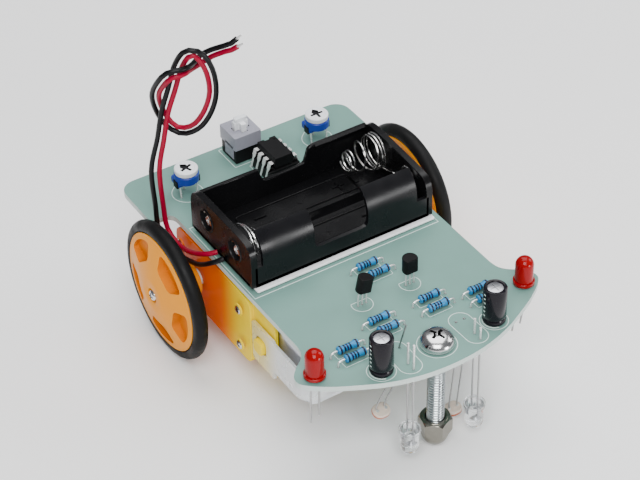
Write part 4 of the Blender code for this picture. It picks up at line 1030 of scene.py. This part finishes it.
def light_sensor(side, name):
    """Light sensor: lacquered ceramic disc with a winding track, on two thin legs."""
    x, y = side * SENSOR_AT.x, SENSOR_AT.y
    cx, cy, cz = SENSOR_DISC[name]
    parts = [prism(pad(cx, cy, 2.45, 2.05, 2.0, 10), cz - 0.7, cz + 0.85, look="ceramic", bevel=0.3),
             prism(pad(cx, cy, 2.5, 2.1, 2.05, 10), cz - 0.55, cz + 0.3, look="sensor_face", bevel=0.2),
             prism(pad(cx, cy, 2.2, 1.8, 1.75, 8), cz - 0.95, cz - 0.68, look="sensor_face", bevel=0.08)]
    track = []
    for i in range(7):
        u, v = cx - 1.5 + i * 0.5, -1.1 if i % 2 else 1.1
        track += [(u, cy + v), (u, cy - v)]
    parts.append(ribbon(track, 0.16, cz - 1.0, cz - 0.93, "band_brown", False))
    parts += [rod("z", cx + dx, cy, 0.45, cz + 0.7, cz + 1.0, "solder", 16) for dx in (-HALF, HALF)]
    for part in parts:
        turn_about(part, (cx, cy, cz), "X", SENSOR_LEAN[name])
    for dx, top in zip((-HALF, HALF), SENSOR_LEADS[name]):
        route = [(cx + dx, cy, cz + 0.7), (cx + dx, cy, cz + 2.6), (x + dx, y, 0.5 * (cz + 1.0)),
                 (x + dx, y, -2.0), (x + dx, y, 0.3), (x + dx + 0.3 * top, y, top)]
        parts.append(bent(route, 1.2, 0.23, "tin"))
    piece("photocell_" + name, parts, "sensor_face", "light_sensor_" + name)


def transistor(name):
    """Small transistor: rounded black body with a flat face, on three legs."""
    (x, y), lean = TRANSISTOR_AT[name], TRANSISTOR_LEAN[name]
    body = prism(arc(x, y, 2.1, -40, 220, 20), 4.4, 8.8, look="black", bevel=0.12)
    parts = [turn_about(body, (x, y, 3.0), "Y", lean)]
    shift = 2.4 * math.tan(math.radians(lean))
    for dx in (-HALF, 0, HALF):
        parts.append(bent([(x + dx, y, -2.9), (x + dx, y, 1.5), (x + dx + shift * 0.3, y, 3.4),
                           (x + dx * 0.98 + shift, y, 5.4)], 1.0, 0.23))
    piece("small_transistor_" + name, parts, "black_plastic", "transistor_" + name)


def resistor(number):
    """Blue film resistor with raised ends, colour bands and bent legs."""
    node = "resistor_%d" % number
    (x, y), z, span = spot(node).xy, 1.55, RESISTOR_SPAN
    rows = [(0, -3.15), (0.6, -3.12), (0.98, -2.95), (1.15, -2.6), (1.15, -2.1), (1.0, -1.75), (0.94, -1.5)]
    rows += [(radius, -along) for radius, along in reversed(rows)]
    parts = [lathe(rows, "x", y, z, "resistor", 28, x)]
    bands = ((-2.35, 1.165), (-1.15, 0.955), (-0.35, 0.955), (0.45, 0.955), (2.35, 1.165))
    for i, (along, radius) in enumerate(bands):
        look = BANDS[(i + number) % 5] if i < 4 else "band_brown"
        band = [(radius - 0.1, -0.24), (radius, -0.24), (radius, 0.24), (radius - 0.1, 0.24)]
        parts.append(lathe(band, "x", y, z, look, 28, x + along))
    for way in (-1, 1):
        route = [(3.0, 0), (4.2, 0), (span - 0.25, -0.25), (span, -1.1), (span, -2.5 - z)]
        parts.append(bent([(x + way * u, y, z + v) for u, v in route], 0.45, 0.26))
    piece("film_resistor_%d" % number, parts, "resistor_body", node)


# Skid screw


def thread(x, y, low, high, core, crest, pitch, look, count=28):
    """Threaded rod along z with one true helical ridge."""
    rows = int((high - low) / pitch * 6)
    points = []
    for i in range(rows + 1):
        z = low + (high - low) * i / rows
        fade = min(1.0, (z - low) / 0.8 + 0.2)
        for k in range(count):
            phase = (z / pitch - k / count) % 1.0
            radius = core + (crest - core) * fade * (1.0 - abs(2.0 * phase - 1.0))
            points.append((*polar(x, y, radius, 360.0 * k / count), z))
    return solid(points, tube_faces(rows + 1, count), look)


def chamfered_hex(low, high, start=0.0):
    """Nut blank round the skid screw, with turned-down corners."""
    corner, half = HEX_FLAT / math.sqrt(3.0), HEX_FLAT / 2
    nut = prism(circle(SCREW.x, SCREW.y, corner, 6, start), low, high, look="nickel")
    wide = corner + 0.05
    cone = [(0, low), (half, low), (wide, low + 0.7), (wide, high - 0.7), (half, high), (0, high)]
    combine(nut, lathe(cone, "z", SCREW.x, SCREW.y, "nickel", 48), "INTERSECT")
    return soften(nut, 0.12)


def skid_screw():
    """Cross-head machine screw, its lock nut and the domed nut that slides on the ground."""
    low, high = limits("skid_screw")
    at, r = ("z", SCREW.x, SCREW.y), 2.45
    head = [(0, 0.3), (4.4, 0.3), (4.6, 0.5), (4.6, 1.2), (4.45, 1.7), (4.1, 2.3), (3.5, 2.85), (2.7, 3.2),
            (1.7, 3.4), (0, 3.45)]
    pan = lathe(head, *at, "chrome", 72)
    for long, wide in ((2.3, 0.42), (0.42, 2.3)):
        taper = [(-long, 5.0), (long, 5.0), (long * 0.72, 1.4), (-long * 0.72, 1.4)]
        cut(pan, prism([(SCREW.x + u, z) for u, z in taper], SCREW.y - wide, SCREW.y + wide, "y"))
    cut(pan, lathe([(0, 1.2), (0.9, 1.4), (1.0, 5), (0, 5)], *at, "chrome", 16))
    turn_about(pan, (SCREW.x, SCREW.y, 0), "Z", SCREW_TURN)
    parts = [pan, rod(*at, r, -1.9, 0.4, "zinc", 32),
             thread(SCREW.x, SCREW.y, low.z, -1.8, r - 0.5, r, 0.9, "zinc")]
    piece("machine_screw", parts, "screw_steel", "skid_screw")
    low, high = limits("lock_nut")
    nut = cut(chamfered_hex(low.z + 0.1, high.z), rod(*at, r + 0.25, -20, 5, count=32))
    piece("hex_lock_nut", [nut], "nut_steel", "lock_nut")
    low, high = limits("cap_nut")
    high.z -= 0.9
    nut = cut(chamfered_hex(low.z + 4.3, high.z, 0.35), rod(*at, r + 0.25, low.z + 3.6, 5, count=32))
    collar = [(r + 0.3, -0.9), (3.5, -0.9), (3.5, -0.1), (3.3, 0.05), (r + 0.45, 0.05)]
    dome = [(0, 0)] + [(3.72 * math.sin(math.radians(t)), 3.9 - 3.9 * math.cos(math.radians(t)))
                       for t in range(9, 91, 9)] + [(3.72, 4.5), (3.5, 4.8), (0, 4.8)]
    ball = cut(lathe(dome, *at, "nickel", 64, low.z), rod(*at, r + 0.25, low.z + 3.4, 5, count=32))
    piece("domed_cap_nut", [nut, ball, lathe(collar, *at, "nickel", 40, high.z)], "nut_steel", "cap_nut")


# Wheels and drive


def wheel(side, name):
    """Dished wheel with five pockets, its tyre and its recessed screw."""
    inner, face, rim, axle = TYRE_IN, outermost("wheel_" + name), TYRE_IN + 4.2, ("x", 0.0, AXLE_Z)
    profile = [(0, inner + 0.5), (6.0, inner + 0.5), (6.4, inner + 1.0), (13.8, inner + 0.7), (14.4, inner),
               (17.1, inner), (17.3, inner + 0.2), (16.7, inner + 0.8), (16.7, rim - 0.8),
               (17.3, rim - 0.15),
               (17.15, rim), (16.9, rim + 0.03), (16.5, rim + 0.02), (16.3, rim + 0.12), (5.2, face - 0.06),
               (4.9, face), (2.4, face), (2.2, face - 0.12), (2.1, face - 0.8), (0, face - 0.8)]
    hub = lathe(profile, *axle, "orange", 96, way=side)
    # The pocket and bore cuts pass their darker orange to the faces they leave: painted shade in the
    # recesses.
    tools = [prism(pocket_outline(51 + 72 * i), *across(side, rim - 1.15, face + 1), "x", "orange_deep")
             for i in range(5)]
    tools += [rod(*axle, radius, *across(side, near, far), "orange_deep")
              for radius, near, far in ((3.0, 20.0, 39.6), (1.3, 39.0, 46.0))]
    soften(cut(hub, *tools), 0.13, 2)
    back = inner + 0.8
    boss = [(3.0, 31.0), (4.4, 31.0), (4.6, 31.2), (4.6, back), (3.0, back)]
    parts = [hub, lathe(boss, *axle, "orange", 40, way=side)]
    for i in range(10):
        turn = math.radians(15 + 36 * i)
        rib = [(r * math.cos(turn) + w * math.sin(turn), AXLE_Z + r * math.sin(turn) - w * math.cos(turn))
               for r, w in ((4.4, 0.35), (14.4, 0.35), (14.4, -0.35), (4.4, -0.35))]
        parts.append(prism(rib, *across(side, inner + 0.1, inner + 1.1), "x", "orange", 0.1))
    piece("dished_wheel_" + name, parts, "wheel_plastic", "wheel_" + name, body="wheel_" + name)
    band = [(17.0, 0.9), (17.35, 1.7), (17.7, 2.0), (18.3, 2.05), (19.0, 1.95), (19.6, 1.6), (20.05, 1.05),
            (TYRE_R, 0.25)]
    band = [(r, -along) for r, along in band] + band[::-1]
    tyre = lathe(band, *axle, "rubber", 128, side * (inner + 2.1), side)
    piece("rubber_tyre_" + name, [tyre], "tyre_rubber", "tyre_" + name, body="wheel_" + name)
    top = outermost("wheel_screw_" + name)
    seat = top - 1.0
    profile = [(0, 36.4), (0.95, 36.4), (0.95, seat), (1.6, seat), (1.65, seat + 0.15), (1.55, seat + 0.45),
               (1.2, seat + 0.8), (0.7, top - 0.02), (0, top)]
    screw = lathe(profile, *axle, "chrome", 40, way=side)
    cross_slot(screw, across(side, seat + 0.35, top + 1), 0.0, AXLE_Z, 1.0, 0.22)
    piece("cross_screw_" + name, [screw], "screw_steel", "wheel_screw_" + name, body="wheel_" + name)


def pocket_outline(middle):
    """Round-cornered outline of one wheel pocket, about an angle."""
    corners = [(9.6, 0), (9.9, -20), (12.5, -22.5), (15.3, -24), (15.6, -12), (15.65, 0), (15.6, 12),
               (15.3, 24), (12.5, 22.5), (9.9, 20)]
    return soften_corners([polar(0.0, AXLE_Z, r, middle + t) for r, t in corners], 0.8, 2)


def cross_slot(screw, span, y, z, long, wide):
    """Cut a cross recess into a screw head that faces sideways."""
    return cut(screw, *[block((span[0], y - u, z - v), (span[1], y + u, z + v))
                        for u, v in ((long, wide), (wide, long))])


def finish_node(node, look):
    """Keep a CAD node and give it a detailed material."""
    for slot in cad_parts[node].material_slots:
        slot.material = LOOKS[look]


def shell_copy(node, look, bevel):
    """A CAD node's shape as a new piece with rounded edges."""
    shape = node_shape(node)
    bmesh.ops.dissolve_limit(shape, angle_limit=math.radians(2), verts=shape.verts, edges=shape.edges)
    mesh = bpy.data.meshes.new(node + "_shell")
    shape.to_mesh(mesh)
    shape.free()
    mesh.materials.append(LOOKS[look])
    mesh.shade_smooth()
    return soften(link(bpy.data.objects.new(node + "_shell", mesh)), bevel)


def gearbox(side, name):
    """Gearbox shells with their screws, seats and ribs."""
    for half, way in (("outer", side), ("inner", -side)):
        node, look = "gearbox_%s_%s" % (name, half), "gearbox"
        low, high = limits(node)
        face = high.x if way > 0 else low.x
        parts = [shell_copy(node, look, 0.22)]
        for y, dz in ((-24.0, -6.2), (-24.0, 6.2), (6.8, -7.6), (6.8, 7.6)):
            z = AXLE_Z + dz
            parts.append(rod("x", y, z, 1.75, *across(way, -0.3, 0.12, face), look, 28, 0.05))
            if half == "outer":
                head = [(0, -0.2), (1.25, -0.2), (1.3, 0.25), (1.05, 0.5), (0.5, 0.62), (0, 0.64)]
                screw = lathe(head, "x", y, z, "chrome", 28, face, way)
                parts.append(cross_slot(screw, across(way, 0.3, 2, face), y, z, 0.8, 0.16))
            else:
                parts.append(rod("x", y, z, 0.9, *across(way, 0, 0.2, face), look, 20, 0.05))
        if half == "outer":
            ring = [(3.1, 0), (4.3, 0), (4.2, 0.35), (3.2, 0.35)]
        else:
            ring = [(0, 0), (3.4, 0), (3.3, 0.3), (0, 0.3)]
            x0, x1 = across(way, 0, 0.2, face)
            parts += [block((x0, -19.0, AXLE_Z + dz - 0.4), (x1, -6.5, AXLE_Z + dz + 0.4), look, 0.08)
                      for dz in (-3.2, 0, 3.2)]
        parts.append(lathe(ring, "x", 0.0, AXLE_Z, look, 48, face, way))
        piece(node + "_moulding", parts, "gearbox_plastic", node)


def motor(name):
    """Flat-sided motor can with its end cap, vents and terminals."""
    low, high = limits("motor_" + name)
    x, y = (low.x + high.x) / 2, low.y
    can = prism(rounded(low.x, low.z, high.x, high.z, 3.4, 10), y + 1.3, high.y, "y", "motor_can", 0.35)
    cut(can, rod("y", x, AXLE_Z, 1.2, high.y - 4.2, high.y + 1, "motor_can"))
    inset = rounded(low.x + 0.35, low.z + 0.35, high.x - 0.35, high.z - 0.35, 3.1, 10)
    bearing = [(0, 0.02), (2.4, 0.02), (2.6, 0.3), (0, 0.3)]
    parts = [can, prism(inset, y + 0.25, y + 1.5, "y", "white", 0.2),
             lathe(bearing, "y", x, AXLE_Z, "motor_can", 32, y)]
    parts += [slab(x, y + 0.21, 1.3, 0.19, AXLE_Z + dz - 0.25, AXLE_Z + dz + 0.25, "brass", 0.06)
              for dz in (-6.6, 6.6)]
    parts += [slab(x + dx, y + 1.6, 0.9, 0.7, low.z - 0.02, low.z + 0.3, "motor_can", 0.08)
              for dx in (-2.9, 2.9)]
    piece("motor_can_" + name, parts, "motor_steel", "motor_" + name)


def strap(side, name):
    """Clear strap hooked on the gearbox peg and run round the motor."""
    node = "motor_strap_" + name
    low, high = limits(node)
    near, far = across(side, -0.3, 0.02, low.x if side < 0 else high.x)
    collar = prism(pad(PEG_Y, PEG_Z, 3.2, 3.2, 2.0), near, far, "x", "strap")
    cut(collar, prism(pad(PEG_Y, PEG_Z, 2.5, 2.5, 1.4), near - 1, far + 1, "x"))
    parts = [shell_copy(node, "strap", 0.12), soften(collar, 0.08)]
    piece("clear_strap_" + name, parts, "strap_plastic", node)


def build():
    """The whole scene: camera and leads first, then the pieces."""
    aim_camera()
    make_looks()
    battery_lead("lead_black", BLACK_ROUTE, "black_lead", 2.4)
    battery_lead("lead_red", RED_ROUTE, "red_lead", 2.6)
    studio()
    circuit_board()
    printing()
    soldering()
    battery_tray()
    battery_contacts()
    push_switch()
    chip()
    skid_screw()
    for number in RESISTORS:
        resistor(number)
    for side, name in SIDES:
        for make in (trimmer, capacitor, red_lamp, clear_lamp):
            make(name)
        light_sensor(side, name)
        transistor(name)
        wheel(side, name)
        for node, look in (("output_gear_", "gear"), ("cluster_gear_", "gear"), ("motor_pinion_", "brass")):
            finish_node(node + name, look)
        gearbox(side, name)
        motor(name)
        strap(side, name)


build()
